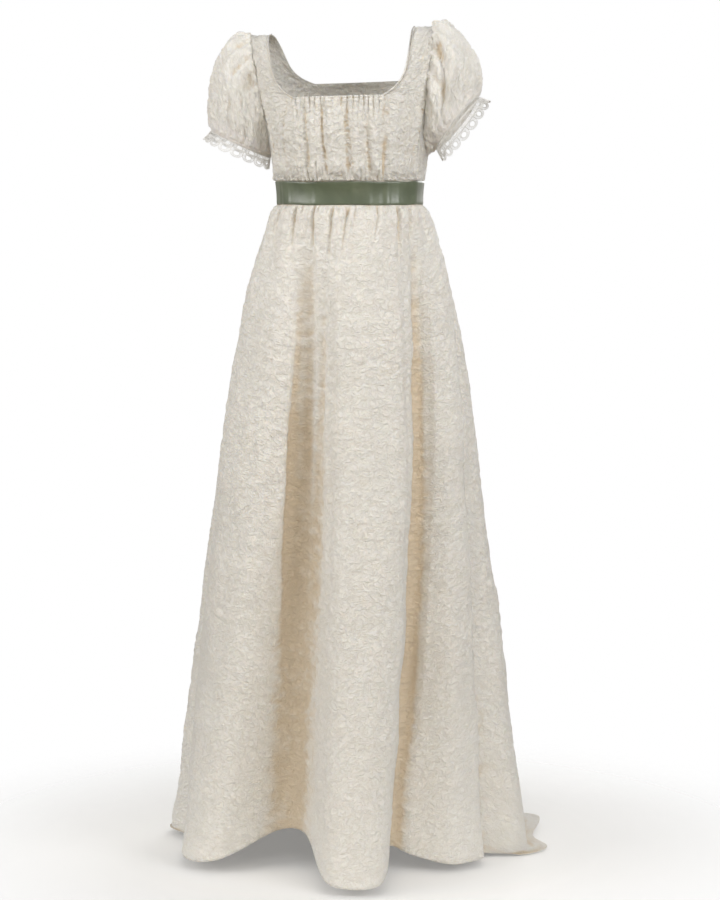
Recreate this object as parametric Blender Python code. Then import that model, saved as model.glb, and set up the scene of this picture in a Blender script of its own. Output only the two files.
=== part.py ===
"""Regency gown: high waist, square neckline, puff sleeves with lace cuffs, ribbon sash and a small train.

Metres, +Z up. The front faces -Y and +X is the right of the picture.
The origin lies midway between the shoulders, where the straps rest on a wearer.
"""
import math

import bpy
import bmesh
from mathutils import Vector

# Driving heights, measured from the shoulders
FLOOR_Z = -1.460
WAIST_Z = -0.280
CHEST_Z = -0.115
UNDERARM_Z = -0.212
BACK_NECK_Z = -0.085

# Walls and gaps
CLOTH_WALL = 0.0018
LACE_WALL = 0.0010
RIBBON_WALL = 0.0010
SEAM_GAP = 0.0004
RIBBON_HEIGHT = 0.040
RIBBON_COLUMNS = 72
RIBBON_MARGIN = 0.001

# Torso form: the bodice follows it, and so does the top of the skirt
ROUNDNESS = 2.3
TORSO = (
    # height, half width, front depth, back depth
    (-0.330, 0.127, 0.106, 0.090),
    (-0.280, 0.127, 0.106, 0.090),
    (-0.230, 0.133, 0.120, 0.092),
    (-0.170, 0.141, 0.127, 0.096),
    (-0.115, 0.152, 0.118, 0.098),
    (0.000, 0.172, 0.112, 0.100),
)
WAIST_SHIFT = 0.009
SHOULDER_SHIFT = -0.004
SHOULDER_TILT = 0.042

# Neckline and straps
NECK_TOP_HALF = 0.124
NECK_TAPER = 0.015
NECK_CORNER = 0.034
CORNER_POWER = 6
ARMHOLE_TOP_HALF = 0.161
ARMHOLE_TURN = 70.0
WAIST_NECK_TURN = 30.0
WAIST_STRAP_TURN = 64.0
STRAP_ROWS = (0.0, 0.05, 0.14, 0.32, 0.6, 0.86, 1.0)
FRONT_ROWS = (0.0, 0.12, 0.22, 0.38, 0.58, 0.8, 1.0)
BACK_ROWS = (0.0, 0.12, 0.34, 0.56, 0.78, 1.0)

# Columns of half a panel: below the neckline, below the strap, below the armhole
FRONT_STEPS = (32, 12, 6)
BACK_STEPS = (6, 5, 6)

# Bodice gathers
NECK_GATHERS = 16
NECK_GATHER_DEPTH = 0.0024
NECK_GATHER_REACH = 0.45
WAIST_GATHER_DEPTH = 0.0028
WAIST_GATHER_REACH = 0.35
BLOUSE_DEPTH = 0.005
BLOUSE_REACH = 0.12
BODICE_FOLDS = (
    # turn at the waist, half width, depth
    (-44.0, 4.5, 0.0035),
    (-27.0, 3.0, 0.0045),
    (-14.5, 3.5, 0.0060),
    (-1.5, 3.5, 0.0070),
    (12.5, 3.5, 0.0065),
    (27.0, 3.5, 0.0060),
    (42.0, 4.5, 0.0045),
)

# Sleeves
CUFFS = {
    # side: centre across, centre height, slope of the cuff's edge in degrees
    1.0: (0.189, -0.1625, 50.0),
    -1.0: (0.194, -0.190, 26.0),
}
PUFFS = {
    # side: head reach, head lift in degrees, cuff reach, tuck at the cuff in degrees
    1.0: (0.044, 45.0, 0.041, 88.0),
    -1.0: (0.051, 26.0, 0.068, 42.0),
}
CUFF_HALF_WIDTH = 0.057
CUFF_HALF_DEPTH = 0.058
FRONT_TUCK = 22.0
UNDERARM_REACH = 0.005
SLEEVE_GATHERS = 9
SLEEVE_GATHER_SPAN = 100.0
SLEEVE_GATHER_DEPTH = 0.0045
SLEEVE_ROWS = (0.0, 0.08, 0.2, 0.36, 0.54, 0.72, 0.88, 1.0)
HEAD_COLUMNS = 32
UNDERARM_COLUMNS = 10

# Lace
SCALLOPS_A_HALF = 8
LACE_DEPTH = 0.023
LACE_FLARE = 16.0
LACE_WAVE = 0.0020
HEADER_DEPTH = 0.008
NOTCH_DEPTH = 0.0150
HOLE_DEPTH = 0.0145
HOLE_RADIUS = 0.0043
HOLE_SHARE = 0.22
SCALLOP_ROUNDING = 0.0022
LACE_SEAM_TURN = 0.15

# Skirt: one row for each line that runs down the cloth from the waist to the hem.
# Turns are degrees from the front, reaches and rises are millimetres.
# The touch reach is where the cloth meets the floor, short of the hem on the train.
SKIRT_LINES = (
    # waist turn, hip turn, hip reach, knee turn, knee reach, hem turn, hem reach, hem rise, touch reach
    (-90, -89, 166, -90, 214, -91, 284, 16, 284),
    (-77, -76, 174, -77, 229, -76, 289, 22, 289),
    (-60, -60, 167, -60, 219, -62, 299, 19, 299),
    (-46, -45, 158, -46, 206, -53, 289, 19, 289),
    (-38, -37, 152, -39, 190, -47, 262, 26, 262),
    (-32, -31, 139, -36, 163, -45, 215, 42, 215),
    (-25, -26, 127, -36, 134, -42, 152, 66, 152),
    (-16, -16, 122, -25, 113, -28, 130, 70, 130),
    (-7, -7, 125, -11, 117, -12, 160, 62, 160),
    (0, -1, 134, -1, 148, -1, 235, 32, 235),
    (9, 8, 141, 8, 173, 5, 286, 19, 286),
    (27, 25, 149, 23, 187, 14, 298, 14, 298),
    (42, 42, 155, 38, 195, 22, 290, 18, 290),
    (52, 53, 153, 47, 184, 28, 240, 30, 240),
    (60, 62, 149, 59, 153, 41, 150, 46, 150),
    (68, 69, 161, 66, 172, 52, 174, 30, 174),
    (76, 78, 177, 72, 206, 64, 230, 15, 230),
    (85, 88, 185, 82, 222, 80, 256, 14, 256),
    (92, 97, 185, 92, 214, 92, 243, 8, 243),
    (99, 102, 190, 102, 239, 96, 318, 4, 306),
    (106, 109, 192, 110, 249, 104, 364, 4, 326),
)
BACK_OUTLINE = (
    # hem turn, hip reach, knee reach, hem reach, touch reach
    (105, 192, 249, 368, 328),
    (125, 174, 246, 384, 348),
    (150, 152, 230, 462, 360),
    (180, 140, 218, 580, 365),
    (210, 146, 220, 555, 362),
    (235, 158, 238, 422, 352),
    (255, 165, 250, 352, 345),
    (269, 166, 214, 284, 284),
)
BACK_FOLDS = (
    # hem turn, share of fold depth
    (117, -0.8),
    (129, 0.9),
    (143, -0.8),
    (156, 0.9),
    (168, -1.0),
    (180, 1.0),
    (193, -0.9),
    (206, 1.0),
    (219, -0.8),
    (232, 0.8),
    (244, -0.8),
    (256, 0.4),
)
HIP_FOLD_DEPTH = 7.0
KNEE_FOLD_DEPTH = 16.0
HEM_FOLD_DEPTH = 20.0
TRAIN_REST = 3.0
TRAIN_RISE = 12.0
HIP_Z = -0.465
KNEE_Z = -0.810
STEPS_A_LINE = 3
SEAM_LINE = 18
SKIRT_ROWS = (0.0, 0.012, 0.03, 0.06, 0.11, 0.18, 0.27, 0.37, 0.48, 0.59, 0.69, 0.78, 0.86, 0.93, 1.0)
TRAIN_ROUNDING = 0.030
GATHER_ONSET = 0.022
SKIRT_GATHERS = (
    # waist turn, half width, depth, length
    (-86, 8, 0.008, 0.16),
    (-63, 8, 0.009, 0.20),
    (-42, 7, 0.008, 0.15),
    (-24, 6, 0.007, 0.16),
    (-11, 6, 0.009, 0.20),
    (3, 5, 0.008, 0.18),
    (28, 10, 0.010, 0.26),
    (51, 7, 0.008, 0.18),
    (67, 6, 0.008, 0.15),
    (84, 7, 0.009, 0.18),
    (101, 7, 0.008, 0.16),
    (119, 7, 0.009, 0.20),
    (136, 7, 0.008, 0.16),
    (153, 7, 0.009, 0.22),
    (171, 7, 0.008, 0.18),
    (188, 7, 0.009, 0.20),
    (205, 7, 0.008, 0.16),
    (222, 7, 0.009, 0.22),
    (239, 7, 0.008, 0.18),
    (256, 7, 0.009, 0.16),
)

# Finishes: colour, roughness, metallic
IVORY = ((0.720, 0.660, 0.560, 1.0), 0.62, 0.0)
GREEN_SATIN = ((0.140, 0.190, 0.115, 1.0), 0.35, 0.0)
WHITE_LACE = ((0.830, 0.810, 0.770, 1.0), 0.75, 0.0)


def sine(degrees):
    return math.sin(math.radians(degrees))


def cosine(degrees):
    return math.cos(math.radians(degrees))


def blend(start, end, share):
    return start + (end - start) * share


def ease(share):
    """Run from 0 to 1 with level ends."""
    share = min(max(share, 0.0), 1.0)
    return share * share * (3.0 - 2.0 * share)


def swell(distance, half_width):
    """A soft ridge that is 1 at its middle and fades out at twice its half width."""
    share = min(abs(distance) / (2.0 * half_width), 1.0)
    return (1.0 - share * share) ** 2


def between(before, start, end, after, share):
    """Smooth value between the two middle ones of four evenly spaced values."""
    slope_start = (end - before) / 2.0
    slope_end = (after - start) / 2.0
    rise = end - start
    curve = 3.0 * rise - 2.0 * slope_start - slope_end
    twist = slope_start + slope_end - 2.0 * rise
    return start + share * (slope_start + share * (curve + share * twist))


def read_table(rows, place):
    """Every column of a table, read smoothly at a place along its first column."""
    last = len(rows) - 1
    place = min(max(place, rows[0][0]), rows[last][0])
    low = 0
    while low < last - 1 and rows[low + 1][0] < place:
        low += 1
    start = rows[low]
    end = rows[low + 1]
    span = end[0] - start[0]
    share = (place - start[0]) / span
    before = rows[max(low - 1, 0)]
    after = rows[min(low + 2, last)]
    values = []
    for column in range(1, len(start)):
        rise = end[column] - start[column]
        slope_start = span * (end[column] - before[column]) / (end[0] - before[0])
        slope_end = span * (after[column] - start[column]) / (after[0] - start[0])
        curve = 3.0 * rise - 2.0 * slope_start - slope_end
        twist = slope_start + slope_end - 2.0 * rise
        values.append(start[column] + share * (slope_start + share * (curve + share * twist)))
    return values


def settle(point):
    """Lean and tilt of the shoulders over the waist, as worn."""
    share = min(max((point.z - WAIST_Z) / -WAIST_Z, 0.0), 1.0)
    shift = blend(WAIST_SHIFT, SHOULDER_SHIFT, share ** 3)
    return Vector((point.x + shift, point.y, point.z + SHOULDER_TILT * share * point.x))


def level_height(level):
    """Height of a torso level: 0 at the waist seam, 1 at the chest, 2 at the shoulder seam."""
    if level <= 1.0:
        return blend(WAIST_Z, CHEST_Z, level)
    return CHEST_Z * (1.0 - sine(90.0 * (level - 1.0)))


def height_level(height):
    """Level of a height, the reverse of level_height."""
    if height <= CHEST_Z:
        return (height - WAIST_Z) / (CHEST_Z - WAIST_Z)
    return 1.0 + math.degrees(math.asin(min(1.0 - height / CHEST_Z, 1.0))) / 90.0


def torso_point(turn, level, lift=0.0):
    """Point of the torso form before it is settled. The turn is 0 in front and 90 on the right."""
    height = level_height(level)
    half_width, front, back = read_table(TORSO, height)
    across = math.copysign(abs(sine(turn)) ** (2.0 / ROUNDNESS), sine(turn))
    along = abs(cosine(turn)) ** (2.0 / ROUNDNESS)
    depth = -(front + lift) * along
    if abs(turn) > 90.0:
        depth = (back + lift) * along
    if level > 1.0:
        depth *= cosine(90.0 * (level - 1.0))
    return Vector(((half_width + lift) * across, depth, height))


def width_turn(half, height):
    """Turn at which the torso form is a given half width across."""
    half_width = read_table(TORSO, height)[0]
    return math.degrees(math.asin((half / half_width) ** (ROUNDNESS / 2.0)))


def neck_turn(height, neck_z):
    """Turn of the neckline's edge, which rounds its lower corner and runs up the strap."""
    share = max(height - neck_z, 0.0) / -neck_z
    half = NECK_TOP_HALF - NECK_TAPER * (1.0 - share) - NECK_CORNER * (1.0 - share) ** CORNER_POWER
    return width_turn(half, height)


def armhole_turn(height):
    """Turn of the armhole's front edge at a height."""
    if height >= CHEST_Z:
        share = height_level(height) - 1.0
        return blend(ARMHOLE_TURN, width_turn(ARMHOLE_TOP_HALF, 0.0), share)
    drop = min((CHEST_Z - height) / (CHEST_Z - UNDERARM_Z), 1.0)
    return 90.0 - (90.0 - ARMHOLE_TURN) * math.sqrt(1.0 - drop * drop)


def armhole_height(angle):
    """Height on the lower half of the armhole, from its corner at 0 to the underarm at 90 degrees."""
    return blend(CHEST_Z, UNDERARM_Z, sine(angle))


def surface_normal(surface, u, v, outward):
    """Unit normal of a surface given as a function of two values."""
    step_u = 0.2
    step_v = 0.002
    along_u = surface(u + step_u, v) - surface(u - step_u, v)
    along_v = surface(u, v + step_v) - surface(u, v - step_v)
    return along_u.cross(along_v).normalized() * outward


def make_material(name, finish):
    colour, roughness, metallic = finish
    material = bpy.data.materials.new(name)
    material.use_nodes = True
    shader = material.node_tree.nodes["Principled BSDF"]
    shader.inputs["Base Color"].default_value = colour
    shader.inputs["Roughness"].default_value = roughness
    shader.inputs["Metallic"].default_value = metallic
    material.diffuse_color = colour
    return material


def cloth_wall(name, places, quads, wall, material, collection):
    """Closed wall of cloth: outer points, the same points moved in by the wall, and a rim.

    Places gives each key its outer point and unit normal. Quads are lists of four keys.
    """
    mesh = bmesh.new()
    outer = {}
    inner = {}
    for key, (point, normal) in places.items():
        outer[key] = mesh.verts.new(point)
        inner[key] = mesh.verts.new(point - normal * wall)
    edge_use = {}
    for quad in quads:
        mesh.faces.new([outer[key] for key in quad])
        mesh.faces.new([inner[key] for key in reversed(quad)])
        for start, end in zip(quad, quad[1:] + quad[:1]):
            edge_use.setdefault(frozenset((start, end)), []).append((start, end))
    for uses in edge_use.values():
        if len(uses) == 1:
            start, end = uses[0]
            mesh.faces.new([outer[end], outer[start], inner[start], inner[end]])
    bmesh.ops.recalc_face_normals(mesh, faces=mesh.faces)
    data = bpy.data.meshes.new(name)
    mesh.to_mesh(data)
    mesh.free()
    data.shade_smooth()
    data.set_sharp_from_angle(angle=math.radians(60.0))
    data.materials.append(material)
    piece = bpy.data.objects.new(name, data)
    collection.objects.link(piece)
    return piece


def grid_quads(columns, rows, closed=False):
    """Quads of a grid whose keys are (column, row)."""
    quads = []
    spans = columns if closed else columns - 1
    for column in range(spans):
        following = (column + 1) % columns
        for row in range(rows - 1):
            quads.append([(column, row), (following, row), (following, row + 1), (column, row + 1)])
    return quads


def gather_ripple(turn, level):
    """Outward swell of the front bodice's gathers and main folds at a waist turn."""
    share = min(level, 1.0)
    held = ease((share - ribbon_level()) / BLOUSE_REACH)
    near_waist = 1.0 - ease((share - ribbon_level()) / WAIST_GATHER_REACH)
    near_neck = ease((share - 1.0 + NECK_GATHER_REACH) / NECK_GATHER_REACH)
    centre = 1.0 - ease((abs(turn) - WAIST_NECK_TURN) / 8.0)
    wave = cosine(360.0 * NECK_GATHERS * (turn + WAIST_NECK_TURN) / (2.0 * WAIST_NECK_TURN))
    ripple = wave * NECK_GATHER_DEPTH * near_neck * centre
    ripple += wave * WAIST_GATHER_DEPTH * near_waist * held * (1.0 - ease((abs(turn) - 58.0) / 20.0))
    for fold_turn, half_width, depth in BODICE_FOLDS:
        ripple += depth * swell(turn - fold_turn, half_width) * held * (0.4 + 0.6 * near_waist)
    ripple += BLOUSE_DEPTH * held * near_waist * ease((85.0 - abs(turn)) / 30.0)
    return ripple


def ribbon_level():
    """Level just above the ribbon's upper edge, up to which the bodice is plain."""
    return (RIBBON_HEIGHT / 2.0 + RIBBON_MARGIN) / (CHEST_Z - WAIST_Z)


def bodice_columns(neck_z, centre_steps, strap_steps, side_steps):
    """Columns of half a panel: waist turn, top turn, top height and, on the strap, the share across it."""
    columns = []
    edge_turn = neck_turn(neck_z, neck_z)
    for step in range(centre_steps + 1):
        share = step / centre_steps
        columns.append((WAIST_NECK_TURN * share, edge_turn * share, neck_z, None))
    columns[-1] = columns[-1][:3] + (0.0,)
    for step in range(1, strap_steps + 1):
        share = step / strap_steps
        height = blend(neck_z, CHEST_Z, share)
        turn = blend(neck_turn(height, neck_z), armhole_turn(height), share)
        columns.append((blend(WAIST_NECK_TURN, WAIST_STRAP_TURN, share), turn, height, share))
    for step in range(1, side_steps + 1):
        height = armhole_height(90.0 * step / side_steps)
        turn = armhole_turn(height)
        share = (turn - ARMHOLE_TURN) / (90.0 - ARMHOLE_TURN)
        columns.append((blend(WAIST_STRAP_TURN, 90.0, share), turn, height, None))
    return columns


def build_bodice(name, front, neck_z, steps, rows, material, collection):
    """One bodice panel with its two straps, gathered if it is the front."""
    half = bodice_columns(neck_z, *steps)
    columns = [(-waist, -top, height, strap) for waist, top, height, strap in reversed(half[1:])] + half
    places = {}
    quads = []

    def panel_point(turn, level, gather_turn):
        lift = gather_ripple(gather_turn, level) if front else 0.0
        facing = turn if front else math.copysign(180.0, turn) - turn
        return settle(torso_point(facing, level, lift))

    def place(turn, level, gather_turn):
        outward = 1.0 if front else -1.0
        shift = Vector((0.0, -outward * SEAM_GAP / 2.0, 0.0))

        def surface(u, v):
            return panel_point(u, v, gather_turn + u - turn)

        normal = surface_normal(surface, turn, level, outward)
        return panel_point(turn, level, gather_turn) + shift, normal

    start_level = SEAM_GAP / 2.0 / (CHEST_Z - WAIST_Z)
    for index, (waist, top, height, strap) in enumerate(columns):
        top_level = height_level(height)
        for row, share in enumerate(rows):
            level = blend(start_level, top_level, share)
            if row == 1:
                level = ribbon_level()
            places[index, row] = place(blend(waist, top, share), level, waist)
    quads += grid_quads(len(columns), len(rows))
    yoke = len(rows) - 1
    strap_rows = len(STRAP_ROWS) - 1
    for index, (waist, top, height, strap) in enumerate(columns):
        if strap is None:
            continue
        side = math.copysign(1.0, top)
        for row in range(1, strap_rows + 1):
            strap_height = blend(height, 0.0, STRAP_ROWS[row])
            turn = blend(neck_turn(strap_height, neck_z), armhole_turn(strap_height), strap)
            places[index, yoke + row] = place(side * turn, height_level(strap_height), waist)
        following = index + 1
        beside = following < len(columns) and columns[following][3] is not None
        if beside and columns[following][1] * top > 0.0:
            for row in range(strap_rows):
                low = yoke + row
                quads.append([(index, low), (following, low), (following, low + 1), (index, low + 1)])
    return cloth_wall(name, places, quads, CLOTH_WALL, material, collection)


def armhole_point(angle):
    """Point of the right armhole: 0 at the shoulder, 90 in front, 180 under the arm, 270 behind."""
    height = UNDERARM_Z * (1.0 - cosine(angle)) / 2.0
    turn = armhole_turn(height)
    if sine(angle) < 0.0:
        turn = 180.0 - turn
    return torso_point(turn, height_level(height)) + Vector((SEAM_GAP, 0.0, 0.0))


def cuff_frame(angle, side):
    """Rim point, way out of the cuff and outward way at an angle round a cuff, drawn as if on the right."""
    across, height, slope = CUFFS[side]
    wide = Vector((cosine(slope), 0.0, sine(slope)))
    down = Vector((sine(slope), 0.0, -cosine(slope)))
    outward = wide * cosine(angle) + Vector((0.0, -1.0, 0.0)) * sine(angle)
    rim = Vector((across, 0.0, height)) + wide * (CUFF_HALF_WIDTH * cosine(angle))
    rim += Vector((0.0, -CUFF_HALF_DEPTH * sine(angle), 0.0))
    return rim, down, outward


def sleeve_point(angle, share, side):
    """Point of a puff sleeve, from its armhole at 0 to its cuff at 1."""
    start = armhole_point(angle)
    end, down, outward = cuff_frame(angle, side)
    head_reach, lift, cuff_reach, tuck = PUFFS[side]
    fullness = (1.0 + cosine(angle)) / 2.0
    head_way = Vector((cosine(lift), -sine(angle) * sine(lift), cosine(angle) * sine(lift)))
    tuck = blend(FRONT_TUCK, tuck, max(cosine(angle), 0.0) ** 2)
    cuff_way = outward * sine(tuck) - down * cosine(tuck)
    head_handle = start + head_way * (UNDERARM_REACH + head_reach * fullness ** 0.6)
    cuff_handle = end + cuff_way * (UNDERARM_REACH + cuff_reach * fullness ** 0.8)
    rest = 1.0 - share
    point = start * rest ** 3 + head_handle * (3.0 * rest * rest * share)
    point += cuff_handle * (3.0 * rest * share * share) + end * share ** 3
    across = (angle + 180.0) % 360.0 - 180.0
    fade = ease(share / 0.16) * (1.0 - ease((share - 0.2) / 0.5))
    span = 1.0 - ease((abs(across) - 0.75 * SLEEVE_GATHER_SPAN) / (0.25 * SLEEVE_GATHER_SPAN))
    wave = cosine(180.0 * SLEEVE_GATHERS * across / SLEEVE_GATHER_SPAN)
    middle = Vector((CUFFS[side][0], 0.0, CUFFS[side][1])) * share + Vector((0.14, 0.0, -0.10)) * rest
    point += (point - middle).normalized() * (SLEEVE_GATHER_DEPTH * fade * span * wave)
    return settle(Vector((point.x * side, point.y, point.z)))


def sleeve_angles():
    """Angles of a sleeve's columns, closer together over its gathered head."""
    angles = []
    for step in range(HEAD_COLUMNS):
        angles.append(blend(-SLEEVE_GATHER_SPAN, SLEEVE_GATHER_SPAN, step / HEAD_COLUMNS))
    for step in range(UNDERARM_COLUMNS):
        angles.append(blend(SLEEVE_GATHER_SPAN, 360.0 - SLEEVE_GATHER_SPAN, step / UNDERARM_COLUMNS))
    return angles


def build_sleeve(name, side, material, collection):
    """One puff sleeve, open at its armhole and its cuff."""
    angles = sleeve_angles()
    places = {}

    def surface(angle, share):
        return sleeve_point(angle, share, side)

    for column, angle in enumerate(angles):
        for row, share in enumerate(SLEEVE_ROWS):
            normal = surface_normal(surface, angle, share, side)
            places[column, row] = (surface(angle, share), normal)
    quads = grid_quads(len(angles), len(SLEEVE_ROWS), closed=True)
    return cloth_wall(name, places, quads, CLOTH_WALL, material, collection)


def lace_point(angle, depth, side):
    """Point of the lace frill at a depth below the sleeve's edge."""
    rim, down, outward = cuff_frame(angle, side)
    wave = LACE_WAVE * cosine(4.0 * angle + 30.0) * depth / LACE_DEPTH
    way = down * cosine(LACE_FLARE) + outward * sine(LACE_FLARE)
    point = rim + way * (depth + SEAM_GAP) + outward * wave
    return settle(Vector((point.x * side, point.y, point.z)))


def scallop_rim():
    """Eight points round one scallop, each as a share of its width and a depth, from the top left."""
    low = LACE_DEPTH - SCALLOP_ROUNDING
    return (
        (-0.5, HEADER_DEPTH),
        (0.0, HEADER_DEPTH),
        (0.5, HEADER_DEPTH),
        (0.5, NOTCH_DEPTH),
        (0.33, low),
        (0.0, LACE_DEPTH),
        (-0.33, low),
        (-0.5, NOTCH_DEPTH),
    )


def build_lace(name, side, start_angle, material, collection):
    """Half a ring of scalloped lace, with a hole cut through each scallop."""
    width = (180.0 - 2.0 * LACE_SEAM_TURN) / SCALLOPS_A_HALF
    places = {}
    quads = []

    def surface(angle, depth):
        return lace_point(angle, depth, side)

    def place(index, share, depth):
        angle = start_angle + LACE_SEAM_TURN + (index + 0.5 + share) * width
        key = (round(index + share, 4), round(depth, 5))
        if key not in places:
            places[key] = (surface(angle, depth), surface_normal(surface, angle, depth, side))
        return key

    for index in range(SCALLOPS_A_HALF):
        rim = [place(index, share, depth) for share, depth in scallop_rim()]
        hole = []
        for share, depth in scallop_rim():
            way = math.atan2(depth - HOLE_DEPTH, share * 2.0 * HOLE_DEPTH)
            hole.append(place(index, HOLE_SHARE * math.cos(way), HOLE_DEPTH + HOLE_RADIUS * math.sin(way)))
        for corner in range(len(rim)):
            following = (corner + 1) % len(rim)
            quads.append([rim[corner], rim[following], hole[following], hole[corner]])
        top = [place(index, share, 0.0) for share in (-0.5, 0.0, 0.5)]
        quads.append([top[0], top[1], rim[1], rim[0]])
        quads.append([top[1], top[2], rim[2], rim[1]])
    return cloth_wall(name, places, quads, LACE_WALL, material, collection)


def build_ribbon(name, columns, material, collection):
    """Plain ribbon round the waist seam, made from the panels' points moved out."""
    places = {}
    lift = SEAM_GAP + RIBBON_WALL

    def surface(turn, level):
        facing = (turn + 180.0) % 360.0 - 180.0
        return settle(torso_point(facing, level, lift))

    edge = RIBBON_HEIGHT / 2.0 / (CHEST_Z - WAIST_Z)
    for column in range(columns):
        turn = 360.0 * (column + 0.5) / columns
        for row, level in enumerate((-edge, edge)):
            places[column, row] = (surface(turn, level), surface_normal(surface, turn, level, 1.0))
    return cloth_wall(name, places, grid_quads(columns, 2, closed=True), RIBBON_WALL, material, collection)


def skirt_lines():
    """Lines down the skirt: the visible ones, then the folds of the hidden back."""
    lines = [tuple(float(value) for value in line) for line in SKIRT_LINES]
    for turn, share in BACK_FOLDS:
        hip, knee, hem, touch = read_table(BACK_OUTLINE, turn)
        rise = TRAIN_REST + TRAIN_RISE * (share + 1.0) / 2.0
        lines.append((
            turn, turn, hip + HIP_FOLD_DEPTH * share, turn, knee + KNEE_FOLD_DEPTH * share,
            turn, hem + HEM_FOLD_DEPTH * share, rise, touch + HEM_FOLD_DEPTH * share,
        ))
    return lines


def line_point(line, share):
    """Point of one line at a share of its way from the waist seam to the hem."""
    waist_turn, hip_turn, hip, knee_turn, knee, hem_turn, hem, rise, touch = line
    facing = (waist_turn + 180.0) % 360.0 - 180.0
    start = settle(torso_point(facing, -RIBBON_HEIGHT / 2.0 / (CHEST_Z - WAIST_Z)))
    end_z = FLOOR_Z + rise / 1000.0 + CLOTH_WALL * (touch < hem)
    drop = start.z - end_z
    spread = (hem - touch) / 1000.0
    travel = share * (drop + spread)
    rounding = min(TRAIN_ROUNDING, 0.3 * spread)
    above = drop - travel
    bend = math.sqrt(above * above + rounding * rounding)
    height = end_z + (above + bend) / 2.0
    run = (bend - above) / 2.0
    low = start.z
    levels = (
        (-low, start.x, start.y),
        (-HIP_Z, hip / 1000.0 * sine(hip_turn), -hip / 1000.0 * cosine(hip_turn)),
        (-KNEE_Z, knee / 1000.0 * sine(knee_turn), -knee / 1000.0 * cosine(knee_turn)),
        (-end_z, touch / 1000.0 * sine(hem_turn), -touch / 1000.0 * cosine(hem_turn)),
    )
    across, depth = read_table(levels, -height)
    return Vector((across + run * sine(hem_turn), depth - run * cosine(hem_turn), height))


def build_skirt_panel(name, lines, first, last, material, collection):
    """Skirt panel between two lines, gathered under the ribbon and folded below."""
    count = len(lines)

    def waist_turn(place):
        index = math.floor(place)
        turns = []
        for near in range(index - 1, index + 3):
            turns.append(lines[near % count][0] + 360.0 * (near // count))
        return between(*turns, place - index)

    def surface(place, share):
        index = math.floor(place)
        points = [line_point(lines[near % count], share) for near in range(index - 1, index + 3)]
        point = between(*points, place - index)
        turn = waist_turn(place)
        fall = (WAIST_Z - RIBBON_HEIGHT / 2.0) - point.z
        if fall <= 0.0:
            return point
        swelling = 0.0
        for gather_turn, half_width, depth, length in SKIRT_GATHERS:
            gap = (turn - gather_turn + 180.0) % 360.0 - 180.0
            swelling += depth * swell(gap, half_width) * (1.0 - ease(fall / length))
        swelling *= ease(fall / GATHER_ONSET)
        way = Vector((sine(turn), -cosine(turn), 0.0))
        return point + way * swelling

    places = {}
    columns = (last - first) * STEPS_A_LINE + 1
    for column in range(columns):
        place = first + column / STEPS_A_LINE
        turn = (waist_turn(place) + 180.0) % 360.0 - 180.0
        edge = SEAM_GAP / 2.0
        if column == 0:
            seam = edge
        elif column == columns - 1:
            seam = -edge
        else:
            seam = 0.0

        def top_surface(u, v):
            return settle(torso_point((u + 180.0) % 360.0 - 180.0, v))

        for row, share in enumerate((None,) + SKIRT_ROWS):
            if share is None:
                level = -SEAM_GAP / 2.0 / (CHEST_Z - WAIST_Z)
                point = top_surface(turn, level)
                normal = surface_normal(top_surface, turn, level, 1.0)
            else:
                point = surface(place, share)
                normal = skirt_normal(surface, place, share)
            way = Vector((cosine(turn), sine(turn), 0.0))
            places[column, row] = (point + way * seam, normal)
    quads = grid_quads(columns, len(SKIRT_ROWS) + 1)
    return cloth_wall(name, places, quads, CLOTH_WALL, material, collection)


def skirt_normal(surface, place, share):
    """Outward normal of the skirt, whose shares run downwards."""
    step_place = 0.06
    step_share = 0.004
    around = surface(place + step_place, share) - surface(place - step_place, share)
    low = min(share + step_share, 1.0)
    high = max(share - step_share, 0.0)
    down = surface(place, low) - surface(place, high)
    return down.cross(around).normalized()


def build_gown():
    """Every piece of the gown, in one collection."""
    for item in list(bpy.data.objects):
        bpy.data.objects.remove(item)
    gown = bpy.data.collections.new("regency_gown")
    bpy.context.scene.collection.children.link(gown)

    front_cloth = make_material("bodice_front_cloth", IVORY)
    back_cloth = make_material("bodice_back_cloth", IVORY)
    build_bodice("bodice_front", True, CHEST_Z, FRONT_STEPS, FRONT_ROWS, front_cloth, gown)
    build_bodice("bodice_back", False, BACK_NECK_Z, BACK_STEPS, BACK_ROWS, back_cloth, gown)
    for label, side in (("right", 1.0), ("left", -1.0)):
        build_sleeve("sleeve_" + label, side, make_material("sleeve_" + label + "_cloth", IVORY), gown)
        for half, start in (("front", 0.0), ("back", 180.0)):
            name = "lace_" + label + "_" + half
            build_lace(name, side, start, make_material(name + "_thread", WHITE_LACE), gown)
    build_ribbon("ribbon", RIBBON_COLUMNS, make_material("ribbon_satin", GREEN_SATIN), gown)
    lines = skirt_lines()
    front_cloth = make_material("skirt_front_cloth", IVORY)
    back_cloth = make_material("skirt_back_cloth", IVORY)
    build_skirt_panel("skirt_front", lines, 0, SEAM_LINE, front_cloth, gown)
    build_skirt_panel("skirt_back", lines, SEAM_LINE, len(lines), back_cloth, gown)


build_gown()
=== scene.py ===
"""Looks of the regency gown: crinkled ivory cloth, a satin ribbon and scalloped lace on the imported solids.

Metres, +Z up, the front faces -Y and +X is the right of the picture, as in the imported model.
"""

import bmesh
import bpy
import numpy as np
from mathutils import Euler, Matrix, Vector, kdtree


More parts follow.
